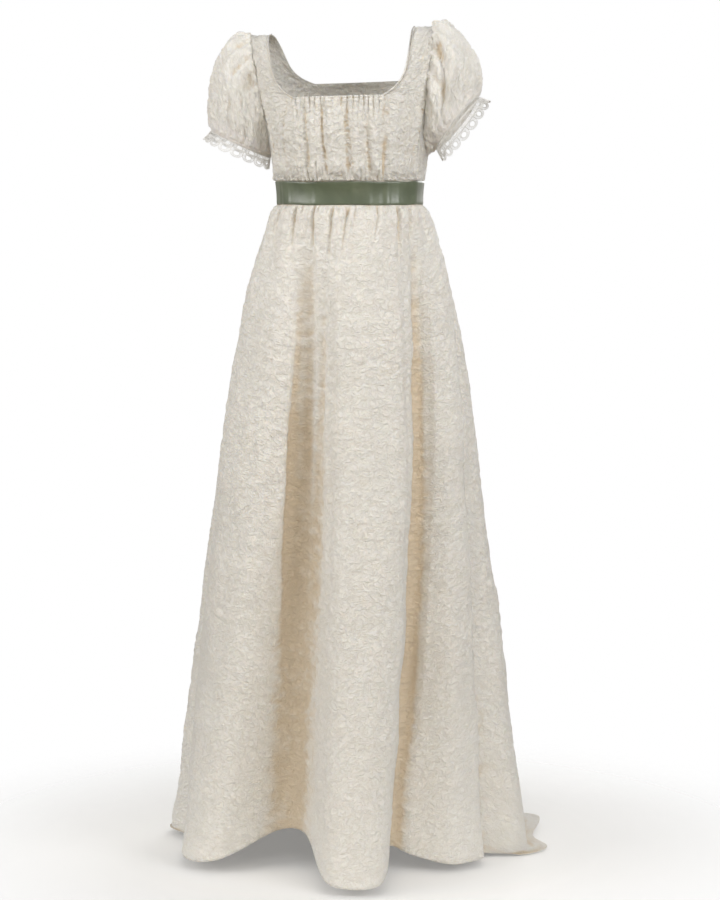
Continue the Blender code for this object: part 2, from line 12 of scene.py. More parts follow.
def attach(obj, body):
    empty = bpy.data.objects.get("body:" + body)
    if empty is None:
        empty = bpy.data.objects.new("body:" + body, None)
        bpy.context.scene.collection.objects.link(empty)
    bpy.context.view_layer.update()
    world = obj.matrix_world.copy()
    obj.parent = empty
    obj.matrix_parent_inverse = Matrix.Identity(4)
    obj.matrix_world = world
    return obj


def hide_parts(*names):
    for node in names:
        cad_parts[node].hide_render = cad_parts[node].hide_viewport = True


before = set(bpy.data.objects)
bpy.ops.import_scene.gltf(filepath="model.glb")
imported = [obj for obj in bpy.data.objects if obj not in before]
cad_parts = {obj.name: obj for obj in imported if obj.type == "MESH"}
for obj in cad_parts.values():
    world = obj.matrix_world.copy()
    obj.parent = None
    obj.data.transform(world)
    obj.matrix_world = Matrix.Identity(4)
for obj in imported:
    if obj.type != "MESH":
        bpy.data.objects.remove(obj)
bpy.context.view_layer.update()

# Driving sizes of the form, the same as the solids'
FLOOR_Z = -1.460
WAIST_Z = -0.280
CHEST_Z = -0.115
UNDERARM_Z = -0.212
BACK_NECK_Z = -0.085
CLOTH_WALL = 0.0018
SEAM_GAP = 0.0004
RIBBON_HEIGHT = 0.040
RIBBON_LIFT = 0.0014
RIBBON_MARGIN = 0.001
ROUNDNESS = 2.3
TORSO = (
    # height, half width, front depth, back depth
    (-0.330, 0.127, 0.106, 0.090),
    (-0.280, 0.127, 0.106, 0.090),
    (-0.230, 0.133, 0.120, 0.092),
    (-0.170, 0.141, 0.127, 0.096),
    (-0.115, 0.152, 0.118, 0.098),
    (0.000, 0.172, 0.112, 0.100),
)
WAIST_SHIFT = 0.009
SHOULDER_SHIFT = -0.004
SHOULDER_TILT = 0.042
NECK_TOP_HALF = 0.124
NECK_TAPER = 0.015
NECK_CORNER = 0.034
CORNER_POWER = 6
ARMHOLE_TOP_HALF = 0.161
ARMHOLE_TURN = 70.0
WAIST_NECK_TURN = 30.0
WAIST_STRAP_TURN = 64.0

# Bodice gathers of the form
NECK_GATHERS = 16
NECK_GATHER_DEPTH = 0.0024
NECK_GATHER_REACH = 0.45
WAIST_GATHER_DEPTH = 0.0028
WAIST_GATHER_REACH = 0.35
BLOUSE_DEPTH = 0.005
BLOUSE_REACH = 0.12
BODICE_FOLDS = (
    # turn at the waist, half width, depth
    (-44.0, 4.5, 0.0035),
    (-27.0, 3.0, 0.0045),
    (-14.5, 3.5, 0.0060),
    (-1.5, 3.5, 0.0070),
    (12.5, 3.5, 0.0065),
    (27.0, 3.5, 0.0060),
    (42.0, 4.5, 0.0045),
)

# Sleeves
CUFFS = {
    # side: centre across, centre height, slope of the cuff's edge in degrees
    1.0: (0.189, -0.1625, 50.0),
    -1.0: (0.194, -0.190, 26.0),
}
PUFFS = {
    # side: head reach, head lift in degrees, cuff reach, tuck at the cuff in degrees
    1.0: (0.044, 45.0, 0.041, 88.0),
    -1.0: (0.051, 26.0, 0.068, 42.0),
}
CUFF_HALF_WIDTH = 0.057
CUFF_HALF_DEPTH = 0.058
FRONT_TUCK = 22.0
UNDERARM_REACH = 0.005
SLEEVE_GATHERS = 9
SLEEVE_GATHER_SPAN = 100.0
SLEEVE_GATHER_DEPTH = 0.0045

# Lace
SCALLOPS_A_HALF = 8
LACE_DEPTH = 0.023
LACE_FLARE = 16.0
LACE_WAVE = 0.0020
HEADER_DEPTH = 0.008
NOTCH_DEPTH = 0.0150
HOLE_DEPTH = 0.0145
HOLE_RADIUS = 0.0043
HOLE_SHARE = 0.22
LACE_SEAM_TURN = 0.15

# Skirt lines, in degrees and millimetres, as in the solids
SKIRT_LINES = (
    # waist turn, hip turn, hip reach, knee turn, knee reach, hem turn, hem reach, hem rise, touch reach
    (-90, -89, 166, -90, 214, -91, 284, 16, 284),
    (-77, -76, 174, -77, 229, -76, 289, 22, 289),
    (-60, -60, 167, -60, 219, -62, 299, 19, 299),
    (-46, -45, 158, -46, 206, -53, 289, 19, 289),
    (-38, -37, 152, -39, 190, -47, 262, 26, 262),
    (-32, -31, 139, -36, 163, -45, 215, 42, 215),
    (-25, -26, 127, -36, 134, -42, 152, 66, 152),
    (-16, -16, 122, -25, 113, -28, 130, 70, 130),
    (-7, -7, 125, -11, 117, -12, 160, 62, 160),
    (0, -1, 134, -1, 148, -1, 235, 32, 235),
    (9, 8, 141, 8, 173, 5, 286, 19, 286),
    (27, 25, 149, 23, 187, 14, 298, 14, 298),
    (42, 42, 155, 38, 195, 22, 290, 18, 290),
    (52, 53, 153, 47, 184, 28, 240, 30, 240),
    (60, 62, 149, 59, 153, 41, 150, 46, 150),
    (68, 69, 161, 66, 172, 52, 174, 30, 174),
    (76, 78, 177, 72, 206, 64, 230, 15, 230),
    (85, 88, 185, 82, 222, 80, 256, 14, 256),
    (92, 97, 185, 92, 214, 92, 243, 8, 243),
    (99, 102, 190, 102, 239, 96, 318, 4, 306),
    (106, 109, 192, 110, 249, 104, 364, 4, 326),
)
BACK_OUTLINE = (
    # hem turn, hip reach, knee reach, hem reach, touch reach
    (105, 192, 249, 368, 328),
    (125, 174, 246, 384, 348),
    (150, 152, 230, 462, 360),
    (180, 140, 218, 580, 365),
    (210, 146, 220, 555, 362),
    (235, 158, 238, 422, 352),
    (255, 165, 250, 352, 345),
    (269, 166, 214, 284, 284),
)
BACK_FOLDS = (
    # hem turn, share of fold depth
    (117, -0.8), (129, 0.9), (143, -0.8), (156, 0.9), (168, -1.0), (180, 1.0),
    (193, -0.9), (206, 1.0), (219, -0.8), (232, 0.8), (244, -0.8), (256, 0.4),
)
HIP_FOLD_DEPTH = 7.0
KNEE_FOLD_DEPTH = 16.0
HEM_FOLD_DEPTH = 20.0
TRAIN_REST = 3.0
TRAIN_RISE = 12.0
HIP_Z = -0.465
KNEE_Z = -0.810
SEAM_LINE = 18
TRAIN_ROUNDING = 0.030
GATHER_ONSET = 0.022
SKIRT_GATHERS = (
    # waist turn, half width, depth, length
    (-86, 8, 0.008, 0.16),
    (-63, 8, 0.009, 0.20),
    (-42, 7, 0.008, 0.15),
    (-24, 6, 0.007, 0.16),
    (-11, 6, 0.009, 0.20),
    (3, 5, 0.008, 0.18),
    (28, 10, 0.010, 0.26),
    (51, 7, 0.008, 0.18),
    (67, 6, 0.008, 0.15),
    (84, 7, 0.009, 0.18),
    (101, 7, 0.008, 0.16),
    (119, 7, 0.009, 0.20),
    (136, 7, 0.008, 0.16),
    (153, 7, 0.009, 0.22),
    (171, 7, 0.008, 0.18),
    (188, 7, 0.009, 0.20),
    (205, 7, 0.008, 0.16),
    (222, 7, 0.009, 0.22),
    (239, 7, 0.008, 0.18),
    (256, 7, 0.009, 0.16),
)

# Creases that the solids leave out. Positive depths stand proud, negative ones sink in.
BODICE_CREASES = (
    # start and end level, waist turn at the start, middle and end, half width in degrees, depth in mm
    (0.12, 1.03, -17.5, -21.0, -22.0, 1.5, -5.0),
    (0.12, 1.03, -4.6, -8.6, -7.0, 1.1, -6.5),
    (0.14, 0.50, -2.8, -4.5, -8.4, 0.9, -3.6),
    (0.12, 1.03, 7.4, 5.6, 3.6, 1.8, -6.5),
    (0.13, 0.86, 9.4, 8.4, 6.4, 1.1, -3.0),
    (0.12, 0.84, 22.5, 20.4, 18.6, 1.4, -5.0),
    (0.14, 0.66, 31.5, 33.0, 36.0, 1.3, -4.0),
    (0.14, 0.60, 44.0, 45.0, 46.0, 1.3, -3.2),
    (0.14, 1.00, -35.8, -42.5, -33.0, 1.6, -4.0),
    (0.14, 0.62, -44.2, -50.0, -53.0, 1.4, -3.6),
    (0.30, 1.00, -27.0, -27.5, -28.0, 1.2, -2.4),
    (0.13, 0.46, -12.0, -13.5, -13.0, 0.9, -2.6),
    (0.13, 0.42, 1.2, 0.8, 0.6, 0.9, -2.2),
    (0.13, 0.44, 14.5, 14.0, 14.6, 1.0, -2.6),
    (0.13, 0.40, 27.0, 27.5, 28.5, 1.0, -2.6),
    (0.58, 1.02, 13.0, 12.0, 11.0, 0.9, -2.4),
    (0.60, 1.02, 26.0, 25.0, 24.5, 0.9, -2.2),
    (0.55, 1.02, -14.0, -14.6, -15.0, 0.9, -2.4),
    (0.35, 0.98, 44.0, 38.0, 31.5, 1.6, -2.4),
    (0.30, 0.90, 54.0, 47.0, 40.0, 1.5, -2.2),
    (0.40, 1.00, 60.0, 53.0, 47.0, 1.5, -2.0),
    (0.13, 0.55, 60.0, 60.0, 61.0, 1.5, -3.0),
    (0.13, 0.60, -58.0, -60.0, -60.0, 1.6, -3.0),
    (0.45, 1.00, -60.0, -56.0, -50.0, 1.6, -2.0),
    (0.13, 0.45, -70.0, -71.0, -72.0, 1.5, -2.2),
    (0.13, 0.45, 72.0, 73.0, 74.0, 1.5, -2.2),
    (0.15, 0.98, -15.5, -15.8, -17.0, 2.3, 2.4),
    (0.15, 0.98, -1.0, -1.5, -1.6, 2.4, 2.8),
    (0.15, 0.98, 14.8, 13.0, 11.0, 2.6, 2.4),
    (0.15, 0.98, 27.5, 27.0, 26.5, 2.6, 2.2),
    (0.15, 0.98, -29.0, -31.0, -28.5, 2.6, 2.0),
)
BACK_CREASES = (
    # as above, on the back bodice, whose turns are counted from its own middle
    (0.14, 0.60, -18.0, -17.0, -15.0, 1.6, -1.3),
    (0.14, 0.52, 9.0, 8.0, 8.0, 1.5, -1.2),
    (0.14, 0.66, 26.0, 27.0, 29.0, 1.6, -1.4),
    (0.14, 0.50, -38.0, -39.0, -41.0, 1.6, -1.3),
    (0.20, 0.90, 52.0, 50.0, 47.0, 2.0, -1.2),
    (0.20, 0.90, -55.0, -52.0, -49.0, 2.0, -1.2),
)
SLEEVE_CREASES = {
    # start and end share from the armhole to the cuff, angle at the start, middle and end,
    # half width in degrees, depth in mm
    1.0: (
        (-0.06, 0.80, 40.0, 68.0, 96.0, 9.0, -11.0),
        (0.00, 0.60, 70.0, 96.0, 108.0, 7.0, 4.0),
        (0.02, 0.85, 22.0, 42.0, 56.0, 10.0, 4.0),
        (0.02, 0.50, 10.0, 14.0, 20.0, 4.5, -2.8),
        (0.02, 0.42, -10.0, -8.0, -4.0, 4.5, -2.6),
        (0.02, 0.50, -32.0, -30.0, -26.0, 5.0, -3.0),
        (0.02, 0.60, -60.0, -64.0, -68.0, 6.0, -4.0),
        (0.55, 0.98, 50.0, 48.0, 46.0, 6.0, -1.8),
        (0.50, 0.98, 20.0, 24.0, 22.0, 6.0, -1.8),
        (0.50, 0.98, -24.0, -20.0, -22.0, 6.0, -1.8),
        (0.45, 0.98, 108.0, 104.0, 102.0, 6.0, -2.4),
    ),
    -1.0: (
        (0.02, 0.95, 84.0, 100.0, 112.0, 6.0, -4.2),
        (0.02, 0.70, 66.0, 84.0, 94.0, 5.0, -3.0),
        (0.02, 0.40, 48.0, 54.0, 60.0, 4.5, -3.0),
        (0.02, 0.34, 30.0, 32.0, 36.0, 4.0, -3.0),
        (0.02, 0.32, 12.0, 12.0, 10.0, 4.0, -2.8),
        (0.02, 0.36, -8.0, -10.0, -14.0, 4.0, -2.6),
        (0.02, 0.45, -30.0, -34.0, -38.0, 5.0, -3.0),
        (0.02, 0.60, -60.0, -66.0, -72.0, 6.0, -3.6),
        (0.55, 0.98, 70.0, 62.0, 56.0, 7.0, -2.0),
        (0.60, 0.98, 30.0, 26.0, 24.0, 7.0, -1.6),
        (0.55, 0.98, -20.0, -24.0, -28.0, 7.0, -1.8),
    ),
}
WAIST_VALLEYS = (
    # waist turn, half width in degrees, depth in mm, length in mm
    (-82, 1.3, 6.0, 80), (-72, 1.1, 4.8, 55), (-54, 1.2, 6.0, 92), (-47, 0.9, 4.0, 46),
    (-34.5, 1.3, 8.0, 138), (-28, 0.8, 4.0, 41), (-17, 1.2, 8.0, 126), (-13.5, 0.7, 3.2, 34),
    (-4, 1.2, 8.4, 138), (5, 1.5, 9.2, 161), (10, 0.8, 4.4, 50), (20, 0.9, 3.2, 46),
    (27, 1.2, 7.2, 103), (34, 0.8, 3.6, 46), (46, 1.3, 8.4, 138), (58, 1.1, 6.8, 103),
    (64, 0.8, 4.0, 50), (75, 1.2, 6.0, 92), (89, 1.1, 5.6, 80), (98, 1.0, 4.8, 59),
    (109, 1.2, 6.8, 103), (117, 0.9, 4.0, 50), (128, 1.2, 6.8, 110), (144, 1.2, 6.4, 92),
    (150, 0.8, 4.0, 46), (162, 1.3, 7.2, 126), (178, 1.1, 6.0, 92), (186, 0.8, 4.0, 50),
    (197, 1.2, 7.2, 114), (213, 1.2, 6.4, 96), (220, 0.8, 3.6, 46), (231, 1.2, 6.8, 110),
    (248, 1.1, 6.0, 92), (263, 1.0, 5.2, 69),
)
SKIRT_CREASES = (
    # start and end share, line at the start, middle and end, half width in mm, depth in mm
    (0.02, 0.80, 6.1, 6.3, 6.3, 15, -9.0),
    (0.04, 0.60, 5.0, 5.2, 5.2, 11, 4.0),
    (0.05, 0.97, 14.6, 14.6, 14.5, 15, -11.0),
    (0.03, 0.52, 6.6, 6.8, 6.9, 7, -3.4),
    (0.03, 0.40, 7.9, 8.0, 8.1, 8, -2.8),
    (0.02, 0.62, 9.1, 9.2, 9.2, 9, -2.6),
    (0.04, 0.34, 10.3, 10.5, 10.7, 10, -2.4),
    (0.05, 0.46, 11.2, 11.3, 11.3, 14, -1.9),
    (0.03, 0.66, 12.7, 12.9, 12.9, 8, -3.0),
    (0.02, 0.50, 14.5, 14.4, 14.3, 8, -3.0),
    (0.04, 0.38, 15.7, 15.8, 15.9, 9, -2.4),
    (0.10, 0.55, 3.4, 3.2, 3.1, 16, -2.4),
    (0.06, 0.42, 2.3, 2.2, 2.1, 14, -2.4),
    (0.12, 0.70, 1.4, 1.3, 1.2, 18, -2.6),
    (0.45, 0.98, 2.7, 2.6, 2.4, 20, -2.8),
    (0.55, 1.00, 3.9, 3.7, 3.5, 16, -2.2),
    (0.40, 0.96, 10.7, 10.6, 10.5, 20, -2.0),
    (0.55, 1.00, 11.6, 11.7, 11.8, 18, -2.2),
    (0.35, 0.90, 12.2, 12.1, 12.0, 16, -1.8),
    (0.50, 1.00, 16.4, 16.6, 16.7, 18, -2.6),
    (0.30, 0.85, 17.3, 17.4, 17.5, 18, -2.4),
    (0.10, 0.60, 19.5, 19.6, 19.6, 18, -3.0),
    (0.30, 0.95, 20.6, 20.7, 20.8, 22, -3.2),
    (0.05, 0.55, 22.3, 22.2, 22.2, 18, -3.0),
    (0.25, 0.92, 23.4, 23.5, 23.5, 22, -3.0),
    (0.05, 0.62, 24.6, 24.5, 24.4, 18, -3.2),
    (0.20, 0.88, 25.6, 25.5, 25.5, 22, -3.0),
    (0.05, 0.58, 26.5, 26.6, 26.7, 18, -3.0),
    (0.22, 0.90, 27.6, 27.5, 27.4, 22, -3.2),
    (0.05, 0.60, 28.5, 28.6, 28.6, 18, -3.0),
    (0.25, 0.90, 29.7, 29.6, 29.5, 20, -3.0),
    (0.05, 0.55, 30.6, 30.6, 30.7, 18, -2.8),
    (0.20, 0.85, 31.8, 31.9, 31.9, 18, -2.6),
)

# How finely the cloth is drawn
BODICE_STEPS = ((78, 34, 26), (60, 24, 24))
BODICE_ROWS = (108, 92)
STRAP_ROWS = (74, 60)
SLEEVE_COLUMNS = 220
SLEEVE_ROWS = 104
SKIRT_COLUMNS = (280, 264)
SKIRT_ROWS = (272, 288)
HIDDEN_ROWS = 4
RIBBON_COLUMNS = 360
RIBBON_ROWS = 12

# Stage: name, place, target, size, power in watts, colour and spread in degrees of each light
MIDDLE = (0.0, 0.0, -0.25)
CHEST = (0.0, 0.0, 0.05)
LIGHTS = (
    ("key", (-2.7, -1.7, 0.55), CHEST, (2.4, 2.0), 19.0, (1.0, 0.99, 0.98), 92.0),
    ("fill", (2.6, -1.7, 0.45), CHEST, (1.9, 2.0), 16.5, (0.99, 0.99, 1.0), 92.0),
    ("front", (0.5, -3.5, 1.5), CHEST, (1.8, 1.4), 8.0, (1.0, 0.98, 0.95), 100.0),
    ("low", (0.3, -2.6, -1.2), (0.0, 0.0, -1.4), (2.4, 0.4), 1.6, (1.0, 0.88, 0.72), 75.0),
    ("top", (0.2, -1.0, 2.6), MIDDLE, (1.6, 1.6), 9.0, (1.0, 1.0, 1.0), 180.0),
    ("back", (0.8, 3.2, 0.9), MIDDLE, (2.4, 2.4), 44.0, (1.0, 1.0, 1.0), 180.0),
)
LOW_SKY = (0.19, 0.155, 0.105, 1.0)
HIGH_SKY = (0.375, 0.375, 0.372, 1.0)
FLOOR_RADIUS = 2.2
CAMERA_PLACE = (0.8244, -4.5256, FLOOR_Z + 1.20)
CAMERA_TURNS = (90.0 - 5.86, 0.0, 10.0)
FOCAL_PIXELS = 2616.0
PHOTO_PIXELS = 900.0
SENSOR_WIDTH = 36.0

# Finer finish
SHELL = 0.0012
RIBBON_SHELL = 0.0005
FINE_PUCKER = 0.0092
BROAD_PUCKER = 0.0190
CRINKLE_DEPTH = 0.0019
EDGE_BAND = 0.0046
HEM_BAND = 0.014
CUFF_BAND = 0.004
OVERLAY_BAND = 0.021
NECK_BAND_RISE = 0.0006
ARM_ROLL = 0.0022
ARM_ROLL_WIDTH = 0.009
BODICE_CREASE_SHARE = 0.66
SLEEVE_CREASE_SHARE = 0.8
SLEEVE_CRINKLE = 1.5 * CRINKLE_DEPTH
SKIRT_CRINKLE = 1.2 * CRINKLE_DEPTH
SOFT_WAVE = 0.0030
# Depths in metres that give full painted shade in hollows and in broad folds
HOLLOW_SHADE_DEPTHS = {"bodice": 0.0030, "sleeve": 0.0045, "skirt": 0.0050}
FOLD_SHADE_DEPTHS = {"front": 0.016, "back": 0.085}


def sine(degrees):
    return np.sin(np.radians(degrees))


def cosine(degrees):
    return np.cos(np.radians(degrees))


def blend(start, end, share):
    return start + (end - start) * share


def ease(share):
    """Run from 0 to 1 with level ends."""
    share = np.clip(share, 0.0, 1.0)
    return share * share * (3.0 - 2.0 * share)


def swell(distance, half_width):
    """A soft ridge that is 1 at its middle and fades out at twice its half width."""
    share = np.minimum(np.abs(distance) / (2.0 * half_width), 1.0)
    return (1.0 - share * share) ** 2


def between(before, start, end, after, share):
    """Smooth value between the two middle ones of four evenly spaced values."""
    slope_start = (end - before) / 2.0
    slope_end = (after - start) / 2.0
    rise = end - start
    curve = 3.0 * rise - 2.0 * slope_start - slope_end
    twist = slope_start + slope_end - 2.0 * rise
    return start + share * (slope_start + share * (curve + share * twist))


def read_table(rows, place):
    """Columns of a table, read smoothly at places along its first column."""
    rows = np.array(rows, float)
    keys = rows[:, 0]
    values = rows[:, 1:]
    last = len(keys) - 1
    place = np.clip(place, keys[0], keys[-1])
    low = np.clip(np.searchsorted(keys, place) - 1, 0, last - 1)
    early = np.maximum(low - 1, 0)
    late = np.minimum(low + 2, last)
    span = (keys[low + 1] - keys[low])[..., None]
    share = (place - keys[low])[..., None] / span
    start = values[low]
    end = values[low + 1]
    rise = end - start
    slope_start = span * (end - values[early]) / (keys[low + 1] - keys[early])[..., None]
    slope_end = span * (values[late] - start) / (keys[late] - keys[low])[..., None]
    curve = 3.0 * rise - 2.0 * slope_start - slope_end
    twist = slope_start + slope_end - 2.0 * rise
    return start + share * (slope_start + share * (curve + share * twist))


def settle(points):
    """Lean and tilt of the shoulders over the waist, as worn."""
    x, y, z = np.moveaxis(points, -1, 0)
    share = np.clip((z - WAIST_Z) / -WAIST_Z, 0.0, 1.0)
    shift = blend(WAIST_SHIFT, SHOULDER_SHIFT, share ** 3)
    return np.stack([x + shift, y, z + SHOULDER_TILT * share * x], -1)


def level_height(level):
    """Height of a torso level: 0 at the waist seam, 1 at the chest, 2 at the shoulder seam."""
    above = CHEST_Z * (1.0 - sine(90.0 * (level - 1.0)))
    return np.where(level <= 1.0, blend(WAIST_Z, CHEST_Z, level), above)


def height_level(height):
    """Level of a height, the reverse of level_height."""
    above = 1.0 + np.degrees(np.arcsin(np.clip(1.0 - height / CHEST_Z, -1.0, 1.0))) / 90.0
    return np.where(height <= CHEST_Z, (height - WAIST_Z) / (CHEST_Z - WAIST_Z), above)


def torso_point(turn, level, lift=0.0):
    """Points of the torso form before it is settled. The turn is 0 in front and 90 on the right."""
    turn, level, lift = np.broadcast_arrays(np.asarray(turn, float), level, lift)
    height = level_height(level)
    half_width, front, back = np.moveaxis(read_table(TORSO, height), -1, 0)
    across = np.sign(sine(turn)) * np.abs(sine(turn)) ** (2.0 / ROUNDNESS)
    along = np.abs(cosine(turn)) ** (2.0 / ROUNDNESS)
    depth = np.where(np.abs(turn) > 90.0, (back + lift) * along, -(front + lift) * along)
    depth = np.where(level > 1.0, depth * cosine(90.0 * (level - 1.0)), depth)
    return np.stack([(half_width + lift) * across, depth, height], -1)


def width_turn(half, height):
    """Turn at which the torso form is a given half width across."""
    half_width = read_table(TORSO, height)[..., 0]
    return np.degrees(np.arcsin(np.clip(half / half_width, 0.0, 1.0) ** (ROUNDNESS / 2.0)))


def neck_turn(height, neck_z):
    """Turn of the neckline's edge, which rounds its lower corner and runs up the strap."""
    rest = 1.0 - np.maximum(height - neck_z, 0.0) / -neck_z
    half = NECK_TOP_HALF - NECK_TAPER * rest - NECK_CORNER * rest ** CORNER_POWER
    return width_turn(half, height)


def armhole_turn(height):
    """Turn of the armhole's front edge at a height."""
    top_turn = width_turn(ARMHOLE_TOP_HALF, np.zeros(1))[0]
    high = blend(ARMHOLE_TURN, top_turn, height_level(height) - 1.0)
    drop = np.clip((CHEST_Z - height) / (CHEST_Z - UNDERARM_Z), 0.0, 1.0)
    low = 90.0 - (90.0 - ARMHOLE_TURN) * np.sqrt(1.0 - drop * drop)
    return np.where(height >= CHEST_Z, high, low)


def soft_noise(u, v, size, seed):
    """Smooth random values from -1 to 1 on a lattice of a given size."""
    table = np.random.RandomState(seed).uniform(-1.0, 1.0, (256, 256))
    x = u / size
    y = v / size
    left = np.floor(x).astype(int)
    low = np.floor(y).astype(int)
    across = ease(x - left)
    along = ease(y - low)

    def corner(dx, dy):
        return table[(left + dx) % 256, (low + dy) % 256]

    return blend(blend(corner(0, 0), corner(1, 0), across), blend(corner(0, 1), corner(1, 1), across), along)


def puckers(u, v, size, seed):
    """Height of the crinkled weave, from 0 in its creases to about 1 on its puckers."""
    u_bent = u + 0.55 * size * soft_noise(u, v, 1.2 * size, seed)
    u_bent = u_bent + 0.22 * size * soft_noise(u, v, 0.5 * size, seed + 1)
    v_bent = v + 0.45 * size * soft_noise(u, v, 1.4 * size, seed + 2)
    v_bent = v_bent + 0.20 * size * soft_noise(u, v, 0.5 * size, seed + 3)
    broad = soft_noise(u_bent / 1.5, v_bent, 0.62 * size, seed + 4)
    worm = 1.0 - 2.2 * np.abs(soft_noise(u_bent / 1.7, v_bent, 0.50 * size, seed + 5))
    patchy = 1.0 + 0.35 * soft_noise(u, v, 3.0 * size, seed + 6)
    return np.clip((0.45 + 0.42 * broad + 0.34 * worm) * patchy, 0.0, 1.6)


def creases(across, along, rows, scale=1.0):
    """Soft troughs and ridges that run along a surface, summed in metres.

    Scale turns a step across into the unit of the half widths.
    """
    total = np.zeros(np.broadcast(across, along).shape)
    for start, end, first, middle, last, half_width, depth in rows:
        share = np.clip((along - start) / (end - start), 0.0, 1.0)
        centre = first * (1.0 - share) * (1.0 - 2.0 * share) + middle * 4.0 * share * (1.0 - share)
        centre = centre + last * share * (2.0 * share - 1.0)
        fade = ease(share / 0.18) * ease((1.0 - share) / 0.3)
        total = total + depth / 1000.0 * swell((across - centre) * scale, half_width) * fade
    return total


def gathers(across, fall, spacing, depth, length, seed, low, high):
    """Fine uneven gathers that hang from an edge: fall is the distance from it."""
    random = np.random.RandomState(seed)
    total = np.zeros(np.broadcast(across, fall).shape)
    place = low
    while place < high:
        width = spacing * random.uniform(0.24, 0.36)
        reach = length * random.uniform(0.5, 1.6)
        height = depth * random.uniform(0.5, 1.3)
        drift = spacing * random.uniform(-0.5, 0.5)
        centre = place + drift * np.clip(fall / reach, 0.0, 1.0)
        total = total + height * swell(across - centre, width) * (1.0 - ease(fall / reach))
        place += spacing * random.uniform(0.75, 1.25)
    return total


def vertex_normals(points, quads):
    """Unit normals of a mesh of quads, weighted by area."""
    corners = points[quads]
    faces = np.cross(corners[:, 2] - corners[:, 0], corners[:, 3] - corners[:, 1])
    normals = np.zeros_like(points)
    for corner in range(4):
        for axis in range(3):
            normals[:, axis] += np.bincount(quads[:, corner], faces[:, axis], len(points))
    return normals / np.maximum(np.linalg.norm(normals, axis=1), 1e-12)[:, None]


def hollows(points, quads, normals, rounds):
    """How deep each point lies below the smoothed surface, in metres."""
    pairs = np.concatenate([quads[:, [0, 1]], quads[:, [1, 2]], quads[:, [2, 3]], quads[:, [3, 0]]])
    ends = np.concatenate([pairs, pairs[:, ::-1]])
    count = np.maximum(np.bincount(ends[:, 0], minlength=len(points)), 1)[:, None]
    smooth = points.copy()
    for _ in range(rounds):
        near = np.stack([np.bincount(ends[:, 0], smooth[ends[:, 1], axis], len(points)) for axis in range(3)], 1)
        smooth = 0.4 * smooth + 0.6 * near / count
    return ((smooth - points) * normals).sum(1)


def running_mean(grid, reach):
    """Mean of a grid over some columns on either side of each."""
    padded = np.concatenate([np.repeat(grid[:1], reach + 1, 0), grid, np.repeat(grid[-1:], reach, 0)])
    total = np.cumsum(padded, axis=0)
    return (total[2 * reach + 1:] - total[:-2 * reach - 1]) / (2 * reach + 1)


def edge_distance(points, ids):
    """Distance from every point to the nearest of some of them."""
    tree = kdtree.KDTree(len(ids))
    for index in ids:
        tree.insert(points[index], int(index))
    tree.balance()
    return np.array([tree.find(point)[2] for point in points])


def grid_quads(columns, rows, closed=False):
    """Quads of a grid whose points are numbered row by row within each column."""
    spans = columns if closed else columns - 1
    column, row = np.meshgrid(np.arange(spans), np.arange(rows - 1), indexing="ij")
    following = (column + 1) % columns
    quads = np.stack([
        column * rows + row, following * rows + row, following * rows + row + 1, column * rows + row + 1,
    ], -1)
    return quads.reshape(-1, 4)


def rim_edges(quads):
    """Edges that only one quad uses, in that quad's own direction."""
    starts = quads.ravel()
    ends = np.roll(quads, -1, axis=1).ravel()
    low = np.minimum(starts, ends)
    high = np.maximum(starts, ends)
    _, place, back, uses = np.unique(low * (quads.max() + 1) + high, True, True, True)
    single = uses[back] == 1
    return np.stack([starts[single], ends[single]], 1)


def make_mesh(name, points, faces, maps=None, values=None):
    """Mesh from points and lists of faces; maps holds each face corner's place on the cloth."""
    mesh = bpy.data.meshes.new(name)
    mesh.vertices.add(len(points))
    mesh.vertices.foreach_set("co", np.asarray(points, np.float32).ravel())
    loops = np.concatenate([part.ravel() for part in faces])
    sizes = np.concatenate([np.full(len(part), part.shape[1]) for part in faces])
    mesh.loops.add(len(loops))
    mesh.loops.foreach_set("vertex_index", loops.astype(np.int32))
    mesh.polygons.add(len(sizes))
    starts = np.concatenate([[0], np.cumsum(sizes)[:-1]])
    mesh.polygons.foreach_set("loop_start", starts.astype(np.int32))
    mesh.update(calc_edges=True)
    if maps is not None:
        layer = mesh.uv_layers.new(name="cloth")
        layer.uv.foreach_set("vector", np.concatenate(maps).astype(np.float32).ravel())
    for key, value in (values or {}).items():
        attribute = mesh.attributes.new(key, "FLOAT", "POINT")
        attribute.data.foreach_set("value", np.asarray(value, np.float32))
    mesh.polygons.foreach_set("use_smooth", np.ones(len(sizes), bool))
    mesh.validate()
    return mesh


def add_piece(name, mesh, material, nodes):
    """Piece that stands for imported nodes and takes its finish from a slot."""
    piece = bpy.data.objects.new(name, mesh)
    bpy.context.scene.collection.objects.link(piece)
    mesh.materials.append(material)
    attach(piece, "root")
    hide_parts(*nodes)
    return piece


def shell(name, points, quads, places, wall, hollow_shade, corner_places=None, band=None):
    """Closed thin shell: the points, the same points moved in by the wall, and a rim."""
    normals = vertex_normals(points, quads)
    inner = points - normals * wall
    count = len(points)
    rim = rim_edges(quads)
    sides = np.stack([rim[:, 1], rim[:, 0], rim[:, 0] + count, rim[:, 1] + count], 1)
    outer_map = places[quads] if corner_places is None else corner_places
    inner_quads = quads[:, ::-1] + count
    side_map = places[sides % count].reshape(-1, 2)
    maps = [outer_map.reshape(-1, 2), outer_map[:, ::-1].reshape(-1, 2), side_map]
    # The hollow value is painted shade for the material; the inner side gets none.
    values = {"hollow_shade": np.concatenate([hollow_shade, np.zeros(count)])}
    # The band value marks the sleeves' overlay, whose colour is partly painted light.
    if band is not None:
        values["band"] = np.concatenate([band, np.zeros(count)])
    return make_mesh(name, np.concatenate([points, inner]), [quads, inner_quads, sides], maps, values)


def surface_area(points, quads):
    corners = points[quads]
    faces = np.cross(corners[:, 2] - corners[:, 0], corners[:, 3] - corners[:, 1])
    return float(np.linalg.norm(faces, axis=1).sum() / 2.0)


# Materials


